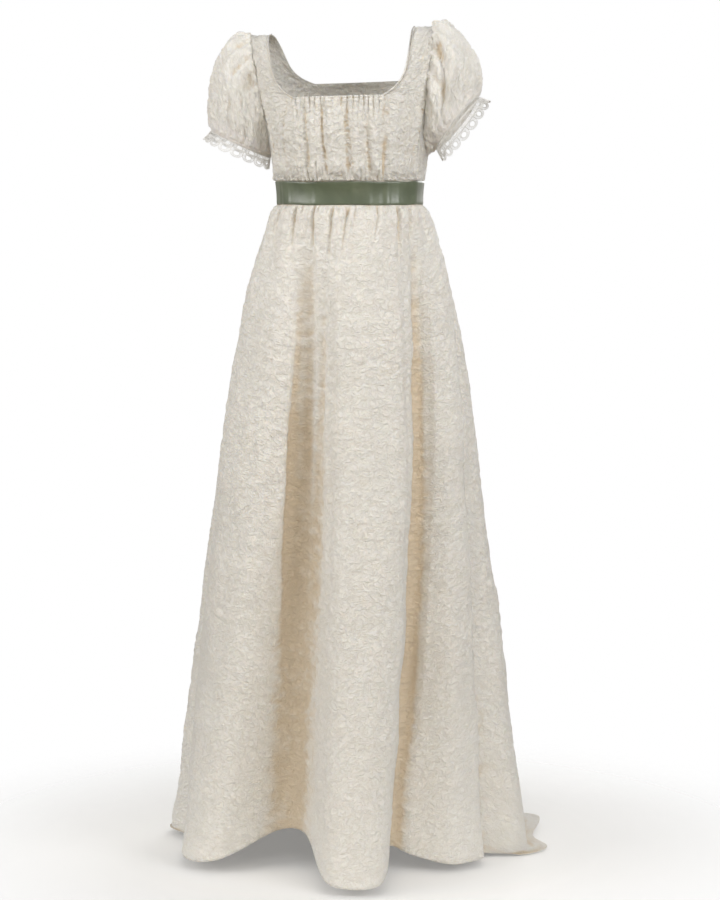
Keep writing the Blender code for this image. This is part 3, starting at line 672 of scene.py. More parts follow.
class Nodes:
    """Short names for building one material's nodes."""

    def __init__(self, name):
        self.material = bpy.data.materials.new(name)
        self.material.use_nodes = True
        self.tree = self.material.node_tree
        self.shader = self.tree.nodes["Principled BSDF"]

    def put(self, kind, **settings):
        node = self.tree.nodes.new("ShaderNode" + kind)
        for key, value in settings.items():
            setattr(node, key, value)
        return node

    def join(self, source, target):
        self.tree.links.new(source, target)

    def feed(self, socket, value):
        if isinstance(value, bpy.types.NodeSocket):
            self.join(value, socket)
        else:
            socket.default_value = value

    def maths(self, operation, first, second=0.0):
        node = self.put("Math", operation=operation)
        self.feed(node.inputs[0], first)
        self.feed(node.inputs[1], second)
        return node.outputs[0]

    def vector(self, operation, first, second):
        node = self.put("VectorMath", operation=operation)
        self.feed(node.inputs[0], first)
        self.feed(node.inputs[1], second)
        return node.outputs[0]

    def ramp(self, value, low, high, start=0.0, end=1.0):
        node = self.put("MapRange", interpolation_type="SMOOTHSTEP")
        self.feed(node.inputs["Value"], value)
        self.feed(node.inputs["From Min"], low)
        self.feed(node.inputs["From Max"], high)
        self.feed(node.inputs["To Min"], start)
        self.feed(node.inputs["To Max"], end)
        return node.outputs["Result"]

    def mix(self, share, first, second):
        node = self.put("Mix", data_type="RGBA")
        self.feed(node.inputs[0], share)
        self.feed(node.inputs[6], first)
        self.feed(node.inputs[7], second)
        return node.outputs[2]

    def noise(self, vector, scale, detail=2.0, distortion=0.0):
        node = self.put("TexNoise")
        self.join(vector, node.inputs["Vector"])
        node.inputs["Scale"].default_value = scale
        node.inputs["Detail"].default_value = detail
        node.inputs["Distortion"].default_value = distortion
        return node

    def bump(self, height):
        node = self.put("Bump")
        node.inputs["Distance"].default_value = 1.0
        self.join(height, node.inputs["Height"])
        self.join(node.outputs["Normal"], self.shader.inputs["Normal"])

    def place(self):
        return self.put("UVMap", uv_map="cloth").outputs["UV"]

    def set(self, **values):
        for key, value in values.items():
            self.shader.inputs[key.replace("_", " ")].default_value = value


IVORY_LIT = (0.872, 0.845, 0.788, 1.0)
# Painted shade in the crinkle's creases and wrinkle troughs; also the cloth's darker random tone in broad patches
IVORY_SHADE_AND_TONE = (0.730, 0.680, 0.595, 1.0)
# Painted shade: warm tan mixed into the cloth where it lies in hollows and folds
IVORY_PAINTED_SHADE = (0.700, 0.575, 0.410, 1.0)
# Sleeves' sheer overlay band: paler, as the real overlay is, and raised further as painted light for light shining
# through it
OVERLAY_WHITE_AND_PAINTED_LIGHT = (0.940, 0.890, 0.850, 1.0)
SAGE_DARK = (0.083, 0.110, 0.060, 1.0)
SAGE_LIT = (0.114, 0.145, 0.084, 1.0)
SAGE_EDGE = (0.100, 0.128, 0.076, 1.0)
LACE_WHITE = (0.86, 0.85, 0.82, 1.0)
LACE_SHADE = (0.70, 0.67, 0.62, 1.0)
# How strongly the crinkle shows on each part
BODICE_RELIEF = 1.0
SLEEVE_RELIEF = 0.74
SKIRT_RELIEF = 0.80
# Bump depths in metres
PUCKER_BUMP = 0.0046
WRINKLE_BUMP = 0.0018
VEIN_BUMP = 0.00050
WEAVE_BUMP = 0.00003


def cloth_material(name, relief):
    """Ivory crinkled jacquard: soft puckers, fine satin wrinkles, a weave and broad random tone, with warm painted
    shade in its creases, wrinkle troughs and hollows and painted light on the sleeves' paler overlay band.
    """
    n = Nodes(name)
    place = n.place()
    warp = n.noise(place, 95.0, 2.0)
    shifted = n.vector("SUBTRACT", warp.outputs["Color"], (0.5, 0.5, 0.5))
    bent = n.vector("ADD", place, n.vector("MULTIPLY", shifted, (0.010, 0.009, 0.0)))
    pucker = n.noise(n.vector("MULTIPLY", bent, (0.80, 1.0, 1.0)), 120.0, 2.0, 1.2).outputs["Fac"]
    wrinkle = n.noise(n.vector("MULTIPLY", bent, (0.70, 1.0, 1.0)), 330.0, 2.0, 1.8).outputs["Fac"]
    vein = n.ramp(n.maths("ABSOLUTE", n.maths("SUBTRACT", pucker, 0.47)), 0.0, 0.045, 1.0, 0.0)
    wave_across = n.put("TexWave", wave_type="BANDS", bands_direction="X")
    wave_along = n.put("TexWave", wave_type="BANDS", bands_direction="Y")
    for wave in (wave_across, wave_along):
        n.join(bent, wave.inputs["Vector"])
        wave.inputs["Scale"].default_value = 320.0
    weave = n.maths("MULTIPLY", wave_across.outputs["Fac"], wave_along.outputs["Fac"])
    height = n.maths("MULTIPLY", pucker, PUCKER_BUMP * relief)
    height = n.maths("ADD", height, n.maths("MULTIPLY", wrinkle, WRINKLE_BUMP * relief))
    height = n.maths("SUBTRACT", height, n.maths("MULTIPLY", vein, VEIN_BUMP * relief))
    height = n.maths("ADD", height, n.maths("MULTIPLY", weave, WEAVE_BUMP))
    n.bump(height)
    broad = n.noise(place, 9.0, 2.0)
    hollow_shade = n.put("Attribute", attribute_name="hollow_shade").outputs["Fac"]
    # Painted shade: the crinkle's sunk veins and the troughs of the fine wrinkles are darkened
    colour = n.mix(n.maths("MULTIPLY", vein, 0.50 * relief), IVORY_LIT, IVORY_SHADE_AND_TONE)
    colour = n.mix(n.ramp(wrinkle, 0.36, 0.54, 0.32 * relief, 0.0), colour, IVORY_SHADE_AND_TONE)
    # Broad patches of darker tone at random, the cloth's own
    colour = n.mix(n.ramp(broad.outputs["Fac"], 0.35, 0.7, 0.0, 0.12), colour, IVORY_SHADE_AND_TONE)
    # Painted shade: warm tan where the cloth lies in hollows and folds
    colour = n.mix(n.ramp(hollow_shade, 0.08, 1.0, 0.0, 0.85), colour, IVORY_PAINTED_SHADE)
    # Overlay band: paler cloth, brightened further as painted light
    band = n.put("Attribute", attribute_name="band").outputs["Fac"]
    colour = n.mix(n.maths("MULTIPLY", band, 0.8), colour, OVERLAY_WHITE_AND_PAINTED_LIGHT)
    n.join(colour, n.shader.inputs["Base Color"])
    n.join(n.ramp(wrinkle, 0.35, 0.65, 0.62, 0.48), n.shader.inputs["Roughness"])
    n.set(Specular_IOR_Level=0.32, Sheen_Weight=0.18, Sheen_Roughness=0.4, Subsurface_Weight=0.20,
          Subsurface_Radius=(1.0, 0.82, 0.58), Subsurface_Scale=0.0025)
    return n.material


def ribbon_material():
    """Sage green satin with fine ribs across it and a firm edge."""
    n = Nodes("ribbon_satin")
    place = n.place()
    cloudy = n.noise(place, 26.0, 3.0, 0.4)
    threads = n.noise(n.vector("MULTIPLY", place, (90.0, 1400.0, 1.0)), 1.0, 2.0)
    split = n.put("SeparateXYZ")
    n.join(place, split.inputs["Vector"])
    middle = n.maths("ABSOLUTE", n.maths("SUBTRACT", split.outputs["Y"], RIBBON_HEIGHT / 2.0))
    edge = n.ramp(middle, RIBBON_HEIGHT / 2.0 - 0.0022, RIBBON_HEIGHT / 2.0 - 0.0012)
    colour = n.mix(n.ramp(cloudy.outputs["Fac"], 0.35, 0.65), SAGE_DARK, SAGE_LIT)
    colour = n.mix(n.maths("MULTIPLY", edge, 0.45), colour, SAGE_EDGE)
    n.join(colour, n.shader.inputs["Base Color"])
    height = n.maths("MULTIPLY", threads.outputs["Fac"], 0.00008)
    height = n.maths("ADD", height, n.maths("MULTIPLY", cloudy.outputs["Fac"], 0.0006))
    height = n.maths("ADD", height, n.maths("MULTIPLY", edge, 0.00025))
    n.bump(height)
    n.join(n.ramp(threads.outputs["Fac"], 0.3, 0.7, 0.32, 0.40), n.shader.inputs["Roughness"])
    n.set(Specular_IOR_Level=1.0, Coat_Weight=0.85, Coat_Roughness=0.34, Sheen_Weight=0.12, Sheen_Roughness=0.35)
    return n.material


def thread_material(name, colour):
    """White cotton thread of the lace."""
    n = Nodes(name)
    place = n.put("TexCoord").outputs["Object"]
    twist = n.noise(place, 900.0, 2.0)
    tone = n.mix(n.ramp(twist.outputs["Fac"], 0.3, 0.7, 0.0, 0.35), colour, LACE_SHADE)
    n.join(tone, n.shader.inputs["Base Color"])
    n.bump(n.maths("MULTIPLY", twist.outputs["Fac"], 0.00015))
    n.set(Roughness=0.72, Specular_IOR_Level=0.3, Sheen_Weight=0.25, Sheen_Roughness=0.5)
    return n.material


# Bodice


def ribbon_level():
    """Level just above the ribbon's upper edge, up to which the bodice is plain."""
    return (RIBBON_HEIGHT / 2.0 + RIBBON_MARGIN) / (CHEST_Z - WAIST_Z)


def gather_ripple(turn, level):
    """Outward swell of the front bodice's gathers and main folds at a waist turn."""
    share = np.minimum(level, 1.0)
    held = ease((share - ribbon_level()) / BLOUSE_REACH)
    near_waist = 1.0 - ease((share - ribbon_level()) / WAIST_GATHER_REACH)
    near_neck = ease((share - 1.0 + NECK_GATHER_REACH) / NECK_GATHER_REACH)
    centre = 1.0 - ease((np.abs(turn) - WAIST_NECK_TURN) / 8.0)
    wave = cosine(360.0 * NECK_GATHERS * (turn + WAIST_NECK_TURN) / (2.0 * WAIST_NECK_TURN))
    ripple = 0.5 * wave * NECK_GATHER_DEPTH * near_neck * centre
    side = 1.0 - ease((np.abs(turn) - 58.0) / 20.0)
    ripple = ripple + 0.5 * wave * WAIST_GATHER_DEPTH * near_waist * held * side
    for fold_turn, half_width, depth in BODICE_FOLDS:
        ripple = ripple + depth * swell(turn - fold_turn, half_width) * held * (0.4 + 0.6 * near_waist)
    return ripple + BLOUSE_DEPTH * held * near_waist * ease((85.0 - np.abs(turn)) / 30.0)


def half_columns(neck_z, centre_steps, strap_steps, side_steps):
    """Columns of half a panel: waist turn, top turn, top height and the share across the strap."""
    columns = []
    edge_turn = float(neck_turn(np.array(neck_z), neck_z))
    for step in range(centre_steps + 1):
        share = step / centre_steps
        columns.append((WAIST_NECK_TURN * share, edge_turn * share, neck_z, np.nan))
    columns[-1] = columns[-1][:3] + (0.0,)
    for step in range(1, strap_steps + 1):
        share = step / strap_steps
        height = blend(neck_z, CHEST_Z, share)
        turn = float(blend(neck_turn(np.array(height), neck_z), armhole_turn(np.array(height)), share))
        columns.append((blend(WAIST_NECK_TURN, WAIST_STRAP_TURN, share), turn, height, share))
    for step in range(1, side_steps + 1):
        height = blend(CHEST_Z, UNDERARM_Z, float(sine(90.0 * step / side_steps)))
        turn = float(armhole_turn(np.array(height)))
        share = (turn - ARMHOLE_TURN) / (90.0 - ARMHOLE_TURN)
        columns.append((blend(WAIST_STRAP_TURN, 90.0, share), turn, height, np.nan))
    return columns


def build_bodice(name, front, neck_z, steps, main_rows, strap_rows, creases_here, seed, material):
    """One bodice panel with its two straps as a thin crinkled shell."""
    half = half_columns(neck_z, *steps)
    mirrored = [(-waist, -top, height, strap) for waist, top, height, strap in reversed(half[1:])]
    waist, top, height, strap = np.array(mirrored + half).T
    count = len(waist)
    rows = main_rows + 1
    start_level = SEAM_GAP / 2.0 / (CHEST_Z - WAIST_Z)
    share = np.linspace(0.0, 1.0, rows)[None, :]
    level = blend(start_level, height_level(height)[:, None], share)
    turn = blend(waist[:, None], top[:, None], share)
    gather = np.repeat(waist[:, None], rows, 1)
    levels = [level.ravel()]
    turns = [turn.ravel()]
    gather_turns = [gather.ravel()]
    quads = [grid_quads(count, rows)]
    strap_ids = {}
    following = count * rows
    on_strap = [index for index in range(count) if not np.isnan(strap[index])]
    for index in on_strap:
        share = np.linspace(0.0, 1.0, strap_rows + 1)[1:]
        strap_height = blend(height[index], 0.0, share)
        strap_turn = blend(neck_turn(strap_height, neck_z), armhole_turn(strap_height), strap[index])
        levels.append(height_level(strap_height))
        turns.append(np.sign(top[index]) * strap_turn)
        gather_turns.append(np.full(strap_rows, waist[index]))
        strap_ids[index] = np.concatenate([[index * rows + rows - 1], following + np.arange(strap_rows)])
        following += strap_rows
    for index in on_strap:
        if index + 1 in strap_ids and top[index] * top[index + 1] > 0.0:
            left = strap_ids[index]
            right = strap_ids[index + 1]
            quads.append(np.stack([left[:-1], right[:-1], right[1:], left[1:]], 1))
    level = np.concatenate(levels)
    turn = np.concatenate(turns)
    gather = np.concatenate(gather_turns)
    quads = np.concatenate(quads)

    lift = gather_ripple(gather, level) if front else 0.0
    facing = turn if front else np.copysign(180.0, turn) - turn
    outward = 1.0 if front else -1.0
    points = settle(torso_point(facing, level, lift)) + np.array([0.0, -outward * SEAM_GAP / 2.0, 0.0])
    if not front:
        quads = quads[:, ::-1]
    grid = points[:count * rows].reshape(count, rows, 3)
    along = np.linalg.norm(np.diff(grid, axis=1), axis=2)
    v = np.concatenate([np.zeros((count, 1)), np.cumsum(along, axis=1)], 1)
    across = np.linalg.norm(np.diff(grid, axis=0), axis=2)
    u = np.concatenate([np.zeros((1, rows)), np.cumsum(across, axis=0)], 0)
    u = u - u[count // 2][None, :]
    places = np.zeros((len(points), 2))
    places[:count * rows] = np.stack([u.ravel(), v.ravel()], 1)
    for index in on_strap:
        ids = strap_ids[index]
        steps_up = np.linalg.norm(np.diff(points[ids], axis=0), axis=1)
        places[ids[1:], 0] = places[ids[0], 0] + (points[ids[1:], 0] - points[ids[0], 0])
        places[ids[1:], 1] = places[ids[0], 1] + np.cumsum(steps_up)

    top_ids = np.arange(count) * rows + rows - 1
    inner = [index for index in on_strap if strap[index] == 0.0]
    outer = [index for index in on_strap if strap[index] == 1.0]
    neck_ids = np.concatenate([top_ids[inner[0]:inner[1] + 1]] + [strap_ids[index] for index in inner])
    arm_ids = np.concatenate([top_ids[:outer[0] + 1], top_ids[outer[1]:]] + [strap_ids[index] for index in outer])
    shoulder_ids = np.array([strap_ids[index][-1] for index in on_strap])
    side_ids = np.concatenate([np.arange(rows), (count - 1) * rows + np.arange(rows)])
    neck = edge_distance(points, neck_ids)
    arm = edge_distance(points, arm_ids)
    seam = np.minimum(edge_distance(points, shoulder_ids), edge_distance(points, side_ids))

    free = ease((level - ribbon_level()) / 0.022)
    edge = ease((neck - EDGE_BAND) / 0.003) * ease(arm / 0.005) * ease(seam / 0.006)
    amount = BODICE_CREASE_SHARE * creases(gather, level, creases_here) * free * edge
    fall = (level - ribbon_level()) * (CHEST_Z - WAIST_Z)
    if front:
        below_neck = np.where(np.abs(gather) < 34.0, (1.0 - level) * (CHEST_Z - WAIST_Z), 1.0)
        centre = 1.0 - ease((np.abs(gather) - 30.0) / 6.0)
        amount += gathers(gather, np.maximum(below_neck, 0.0), 3.1, 0.0027, 0.030, seed, -32.0, 33.0) * centre
        side = 1.0 - ease((np.abs(gather) - 74.0) / 12.0)
        amount += gathers(gather, np.maximum(fall, 0.0), 3.3, 0.0048, 0.015, seed + 1, -80.0, 80.0) * free * side
    else:
        amount += gathers(gather, np.maximum(fall, 0.0), 4.0, 0.0022, 0.014, seed + 1, -80.0, 80.0) * free
    strap_share = ease((level - 1.0) / 0.3)
    crinkle = CRINKLE_DEPTH * (1.1 + 0.4 * strap_share)
    amount += crinkle * puckers(places[:, 0], places[:, 1], FINE_PUCKER, seed) * free * edge
    amount += ARM_ROLL * (1.0 - ease(arm / ARM_ROLL_WIDTH)) * free
    band = ease(neck / 0.0008) * (1.0 - ease((neck - EDGE_BAND + 0.001) / 0.001))
    amount += NECK_BAND_RISE * band - 0.0004 * swell(neck - EDGE_BAND, 0.0007)
    amount -= 0.0004 * swell(arm - 0.003, 0.0012) * free
    points = points + vertex_normals(points, quads) * amount[:, None]
    normals = vertex_normals(points, quads)
    # Painted shade: depth in hollows, which darkens the colour in the material
    hollow_shade = hollows(points, quads, normals, 60) / HOLLOW_SHADE_DEPTHS["bodice"]
    mesh = shell(name, points, quads, places, SHELL, hollow_shade)
    node = "bodice_front" if front else "bodice_back"
    piece = add_piece(name, mesh, material, [node])
    return piece, surface_area(points, quads)


# Sleeves


def armhole_point(angle):
    """Points of the right armhole: 0 at the shoulder, 90 in front, 180 under the arm, 270 behind."""
    height = UNDERARM_Z * (1.0 - cosine(angle)) / 2.0
    turn = armhole_turn(height)
    turn = np.where(sine(angle) < 0.0, 180.0 - turn, turn)
    return torso_point(turn, height_level(height)) + np.array([SEAM_GAP, 0.0, 0.0])


def cuff_frame(angle, side):
    """Rim points, way out of the cuff and outward ways round a cuff, drawn as if on the right."""
    across, height, slope = CUFFS[side]
    wide = np.array([cosine(slope), 0.0, sine(slope)])
    down = np.array([sine(slope), 0.0, -cosine(slope)])
    ahead = np.array([0.0, -1.0, 0.0])
    cos = cosine(angle)[..., None]
    sin = sine(angle)[..., None]
    outward = wide * cos + ahead * sin
    rim = np.array([across, 0.0, height]) + wide * CUFF_HALF_WIDTH * cos + ahead * CUFF_HALF_DEPTH * sin
    return rim, down, outward


def mirror(points, side):
    return points * np.array([side, 1.0, 1.0])


def sleeve_point(angle, share, side):
    """Points of a puff sleeve, from its armhole at 0 to its cuff at 1, before it is mirrored."""
    start = armhole_point(angle)
    end, down, outward = cuff_frame(angle, side)
    head_reach, lift, cuff_reach, tuck = PUFFS[side]
    fullness = (1.0 + cosine(angle)) / 2.0
    head_way = np.stack([
        np.full(angle.shape, cosine(lift)), -sine(angle) * sine(lift), cosine(angle) * sine(lift),
    ], -1)
    tuck = blend(FRONT_TUCK, tuck, np.maximum(cosine(angle), 0.0) ** 2)[..., None]
    cuff_way = outward * sine(tuck) - down * cosine(tuck)
    head_handle = start + head_way * (UNDERARM_REACH + head_reach * fullness ** 0.6)[..., None]
    cuff_handle = end + cuff_way * (UNDERARM_REACH + cuff_reach * fullness ** 0.8)[..., None]
    share = share[..., None]
    rest = 1.0 - share
    point = start * rest ** 3 + head_handle * (3.0 * rest * rest * share)
    return point + cuff_handle * (3.0 * rest * share * share) + end * share ** 3


def build_sleeve(name, label, side, seed, material):
    """Puff sleeve as a thin crinkled shell, gathered at its head and cuff."""
    columns = SLEEVE_COLUMNS
    rows = SLEEVE_ROWS + 1
    angle, share = np.meshgrid(
        np.arange(columns + 1) * 360.0 / columns - 180.0, np.linspace(0.0, 1.0, rows), indexing="ij")
    points = sleeve_point(angle, share, side)
    fade = ease(share / 0.16) * (1.0 - ease((share - 0.2) / 0.5))
    span = 1.0 - ease((np.abs(angle) - 0.75 * SLEEVE_GATHER_SPAN) / (0.25 * SLEEVE_GATHER_SPAN))
    wave = cosine(180.0 * SLEEVE_GATHERS * angle / SLEEVE_GATHER_SPAN)
    middle = np.array([CUFFS[side][0], 0.0, CUFFS[side][1]]) * share[..., None]
    middle = middle + np.array([0.14, 0.0, -0.10]) * (1.0 - share[..., None])
    way = points - middle
    way /= np.linalg.norm(way, axis=-1, keepdims=True)
    points = points + way * (0.55 * SLEEVE_GATHER_DEPTH * fade * span * wave)[..., None]
    points = settle(mirror(points, side))
    across = np.linalg.norm(np.diff(points, axis=0), axis=2)
    u = angle / 360.0 * across.sum(0).mean()
    along = np.linalg.norm(np.diff(points, axis=1), axis=2)
    v = np.concatenate([np.zeros((columns + 1, 1)), np.cumsum(along, axis=1)], 1)
    closing = np.stack([1.2 * u, v], -1).reshape(-1, 2)
    open_quads = grid_quads(columns + 1, rows)
    quads = grid_quads(columns, rows, closed=True)
    flat = points[:columns].reshape(-1, 3)
    angle = angle[:columns].ravel()
    share = share[:columns].ravel()
    u = u[:columns].ravel()
    v = v[:columns].ravel()
    length = np.repeat(closing.reshape(columns + 1, rows, 2)[:columns, -1:, 1], rows, 1).ravel()
    if side < 0.0:
        quads = quads[:, ::-1]
        open_quads = open_quads[:, ::-1]
    if (vertex_normals(flat, quads) * (flat - flat.mean(0))).sum() < 0.0:
        quads = quads[:, ::-1]
        open_quads = open_quads[:, ::-1]
    underarm = ease((180.0 - np.abs(angle)) / 10.0)
    cuff = length - v
    edge = ease(v / 0.005) * ease((cuff - CUFF_BAND) / 0.004) * underarm
    amount = SLEEVE_CREASE_SHARE * creases(angle, share, SLEEVE_CREASES[side]) * underarm
    amount *= ease(v / 0.004) * ease(cuff / 0.012)
    head = 1.0 - ease((np.abs(angle) - 80.0) / 20.0)
    amount += gathers(angle, v, 10.0, 0.0058, 0.020, seed, -100.0, 100.0) * head * ease(v / 0.003)
    amount += gathers(angle, cuff, 8.0, 0.0014, 0.020, seed + 1, -150.0, 150.0) * underarm * ease(cuff / 0.006)
    overlay_edge = OVERLAY_BAND + 0.003 * soft_noise(u, 0.0 * v, 0.012, seed + 9)
    overlay = (1.0 - ease((cuff - overlay_edge) / 0.0015)) * (0.8 if side < 0.0 else 0.5)
    amount += SLEEVE_CRINKLE * puckers(1.35 * u, v, FINE_PUCKER, seed) * edge * (1.0 - 0.4 * overlay)
    amount += SOFT_WAVE * soft_noise(1.2 * u, v, 0.022, seed + 12) * edge
    amount += 0.0004 * overlay
    amount += 0.0005 * (1.0 - ease((cuff - CUFF_BAND) / 0.001)) - 0.0006 * swell(cuff - CUFF_BAND, 0.0008)
    amount -= 0.0008 * swell(np.abs(angle) - 180.0, 2.0)
    flat = flat + vertex_normals(flat, quads) * amount[:, None]
    normals = vertex_normals(flat, quads)
    # Painted shade: depth in hollows, which darkens the colour in the material
    hollow_shade = hollows(flat, quads, normals, 90) / HOLLOW_SHADE_DEPTHS["sleeve"]
    places = np.stack([1.2 * u, v], 1)
    mesh = shell(name, flat, quads, places, SHELL, hollow_shade, closing[open_quads], overlay)
    return add_piece(name, mesh, material, ["sleeve_" + label]), surface_area(flat, quads)


# Lace


def lace_point(angle, depth, side):
    """Points of the lace frill at a depth below the sleeve's edge."""
    rim, down, outward = cuff_frame(angle, side)
    wave = LACE_WAVE * cosine(4.0 * angle + 30.0) * depth / LACE_DEPTH
    way = down * cosine(LACE_FLARE) + outward * sine(LACE_FLARE)
    point = rim + way * (depth + SEAM_GAP)[..., None] + outward * wave[..., None]
    return settle(mirror(point, side))


def scallop_outline():
    """Points round one scallop, each as a share of its width and a depth, from the top left."""
    points = [(share, HEADER_DEPTH) for share in np.linspace(-0.5, 0.5, 7)]
    points += [(0.5, depth) for depth in np.linspace(HEADER_DEPTH, NOTCH_DEPTH, 4)[1:]]
    for share in np.linspace(0.5, -0.5, 15)[1:-1]:
        bow = (1.0 - abs(2.0 * share) ** 2.6) ** 0.7
        picot = 0.0006 * abs(float(sine(1260.0 * (share + 0.5))))
        points.append((share, NOTCH_DEPTH + (LACE_DEPTH - 0.0006 - NOTCH_DEPTH) * bow + picot))
    points += [(-0.5, depth) for depth in np.linspace(NOTCH_DEPTH, HEADER_DEPTH, 4)[:-1]]
    return points


def build_lace(name, label, side, start_angle, material):
    """Half a ring of lace: a solid band, edge and ring round each hole, and a net of threads between."""
    width = (180.0 - 2.0 * LACE_SEAM_TURN) / SCALLOPS_A_HALF
    keys = {}
    flat = []

    def place(index, share, depth):
        key = (round(index + share, 4), round(depth, 5))
        if key not in keys:
            keys[key] = len(flat)
            flat.append((start_angle + LACE_SEAM_TURN + (index + 0.5 + share) * width, depth))
        return keys[key]

    solid = []
    net = []
    rings = (0.0, 0.10, 0.40, 0.70, 0.88, 1.0)
    bands = (0.0, 0.0016, 0.0036, 0.0058, 0.0072, HEADER_DEPTH)
    for index in range(SCALLOPS_A_HALF):
        outline = scallop_outline()
        loops = []
        for ring in rings:
            loop = []
            for share, depth in outline:
                way = np.arctan2(depth - HOLE_DEPTH, share * 2.0 * HOLE_DEPTH)
                hole_share = HOLE_SHARE * np.cos(way)
                hole_depth = HOLE_DEPTH + HOLE_RADIUS * np.sin(way)
                loop.append(place(index, blend(share, hole_share, ring), blend(depth, hole_depth, ring)))
            loops.append(loop)
        for ring in range(len(rings) - 1):
            faces = solid if ring in (0, len(rings) - 2) else net
            for corner in range(len(outline)):
                following = (corner + 1) % len(outline)
                faces.append([loops[ring][corner], loops[ring][following],
                              loops[ring + 1][following], loops[ring + 1][corner]])
        shares = np.linspace(-0.5, 0.5, 7)
        for band in range(len(bands) - 1):
            faces = solid if band in (0, len(bands) - 2) else net
            for step in range(6):
                left, right = shares[step], shares[step + 1]
                faces.append([place(index, left, bands[band]), place(index, right, bands[band]),
                              place(index, right, bands[band + 1]), place(index, left, bands[band + 1])])
    angles, depths = np.array(flat).T
    points = lace_point(angles, depths, side)

    def loose(faces):
        used = np.unique(np.array(faces))
        renumber = np.zeros(len(points), int)
        renumber[used] = np.arange(len(used))
        return points[used], renumber[np.array(faces)]

    joined = bmesh.new()
    band_points, band_quads = loose(solid)
    if side < 0.0:
        band_quads = band_quads[:, ::-1]
    band_mesh = shell(name + "_band", band_points, band_quads, np.zeros((len(band_points), 2)), 0.0007,
                      np.zeros(len(band_points)))
    joined.from_mesh(band_mesh)
    net_points, net_quads = loose(net)
    net_mesh = bmesh.new()
    verts = [net_mesh.verts.new(point) for point in net_points]
    for quad in net_quads:
        corners = [verts[index] for index in dict.fromkeys(quad.tolist())]
        if len(corners) > 2:
            net_mesh.faces.new(corners)
    bmesh.ops.recalc_face_normals(net_mesh, faces=net_mesh.faces)
    bmesh.ops.wireframe(net_mesh, faces=net_mesh.faces, thickness=0.00055, use_replace=True, use_boundary=True,
                        use_even_offset=False)
    threads = bpy.data.meshes.new(name + "_threads")
    net_mesh.to_mesh(threads)
    net_mesh.free()
    joined.from_mesh(threads)
    mesh = bpy.data.meshes.new(name)
    joined.to_mesh(mesh)
    joined.free()
    bpy.data.meshes.remove(threads)
    bpy.data.meshes.remove(band_mesh)
    mesh.shade_smooth()
    return add_piece(name, mesh, material, ["lace_" + label])


# Ribbon


def build_ribbon(name, material):
    """Satin ribbon round the waist, slightly uneven over the gathers."""
    turn, share = np.meshgrid(
        np.arange(RIBBON_COLUMNS + 1) * 360.0 / RIBBON_COLUMNS - 180.0,
        np.linspace(0.0, 1.0, RIBBON_ROWS + 1), indexing="ij")
    edge = RIBBON_HEIGHT / 2.0 / (CHEST_Z - WAIST_Z)
    level = blend(-edge, edge, share)
    around = soft_noise(turn % 360.0, share * 0.0, 9.0, 71) + 0.6 * soft_noise(turn % 360.0, share * 2.0, 4.0, 72)
    lift = RIBBON_LIFT + 0.0010 * np.clip(around, -0.3, 1.5) - 0.0004 * swell(share, 0.03) * (share < 0.1)
    points = settle(torso_point(np.where(turn < -180.0, turn + 360.0, turn), level, lift))
    points[..., 2] += 0.0007 * soft_noise(turn % 360.0, share * 0.0, 14.0, 73)
    across = np.linalg.norm(np.diff(points, axis=0), axis=2)
    u = np.concatenate([np.zeros((1, RIBBON_ROWS + 1)), np.cumsum(across, axis=0)], 0)
    places = np.stack([u, share * RIBBON_HEIGHT], -1).reshape(-1, 2)
    open_quads = grid_quads(RIBBON_COLUMNS + 1, RIBBON_ROWS + 1)
    quads = grid_quads(RIBBON_COLUMNS, RIBBON_ROWS + 1, closed=True)
    flat = points[:-1].reshape(-1, 3)
    mesh = shell(name, flat, quads, places[:len(flat)], RIBBON_SHELL, np.zeros(len(flat)), places[open_quads])
    return add_piece(name, mesh, material, ["ribbon"])


# Skirt


def skirt_lines():
    """Lines down the skirt: the visible ones, then the folds of the hidden back."""
    lines = [tuple(float(value) for value in line) for line in SKIRT_LINES]
    for turn, share in BACK_FOLDS:
        hip, knee, hem, touch = read_table(BACK_OUTLINE, np.array(float(turn)))
        rise = TRAIN_REST + TRAIN_RISE * (share + 1.0) / 2.0
        lines.append((
            turn, turn, hip + HIP_FOLD_DEPTH * share, turn, knee + KNEE_FOLD_DEPTH * share,
            turn, hem + HEM_FOLD_DEPTH * share, rise, touch + HEM_FOLD_DEPTH * share,
        ))
    return np.array(lines)


def turned(turn):
    return (turn + 180.0) % 360.0 - 180.0


def line_points(line, share):
    """Points of one line at shares of its way from the waist seam to the hem."""
    waist_turn, hip_turn, hip, knee_turn, knee, hem_turn, hem, rise, touch = line
    start = settle(torso_point(turned(waist_turn), -RIBBON_HEIGHT / 2.0 / (CHEST_Z - WAIST_Z)))
    end_z = FLOOR_Z + rise / 1000.0 + CLOTH_WALL * (touch < hem)
    drop = start[2] - end_z
    spread = (hem - touch) / 1000.0
    rounding = min(TRAIN_ROUNDING, 0.3 * spread)
    above = drop - share * (drop + spread)
    bend = np.sqrt(above * above + rounding * rounding)
    height = end_z + (above + bend) / 2.0
    run = (bend - above) / 2.0
    levels = (
        (-start[2], start[0], start[1]),
        (-HIP_Z, hip / 1000.0 * sine(hip_turn), -hip / 1000.0 * cosine(hip_turn)),
        (-KNEE_Z, knee / 1000.0 * sine(knee_turn), -knee / 1000.0 * cosine(knee_turn)),
        (-end_z, touch / 1000.0 * sine(hem_turn), -touch / 1000.0 * cosine(hem_turn)),
    )
    flat = read_table(levels, -height)
    return np.stack([flat[:, 0] + run * sine(hem_turn), flat[:, 1] - run * cosine(hem_turn), height], -1)


def skirt_grid(lines, places, shares):
    """Grid of skirt points at places along the lines, with the waist turn of each column."""
    count = len(lines)
    drawn = np.stack([line_points(line, shares) for line in lines])
    index = np.floor(places).astype(int)
    rest = places - index
    near = [(index + step) % count for step in (-1, 0, 1, 2)]
    points = between(*[drawn[ids] for ids in near], rest[:, None, None])
    turns = [lines[ids, 0] + 360.0 * ((index + step) // count) for ids, step in zip(near, (-1, 0, 1, 2))]
    return points, between(*turns, rest)


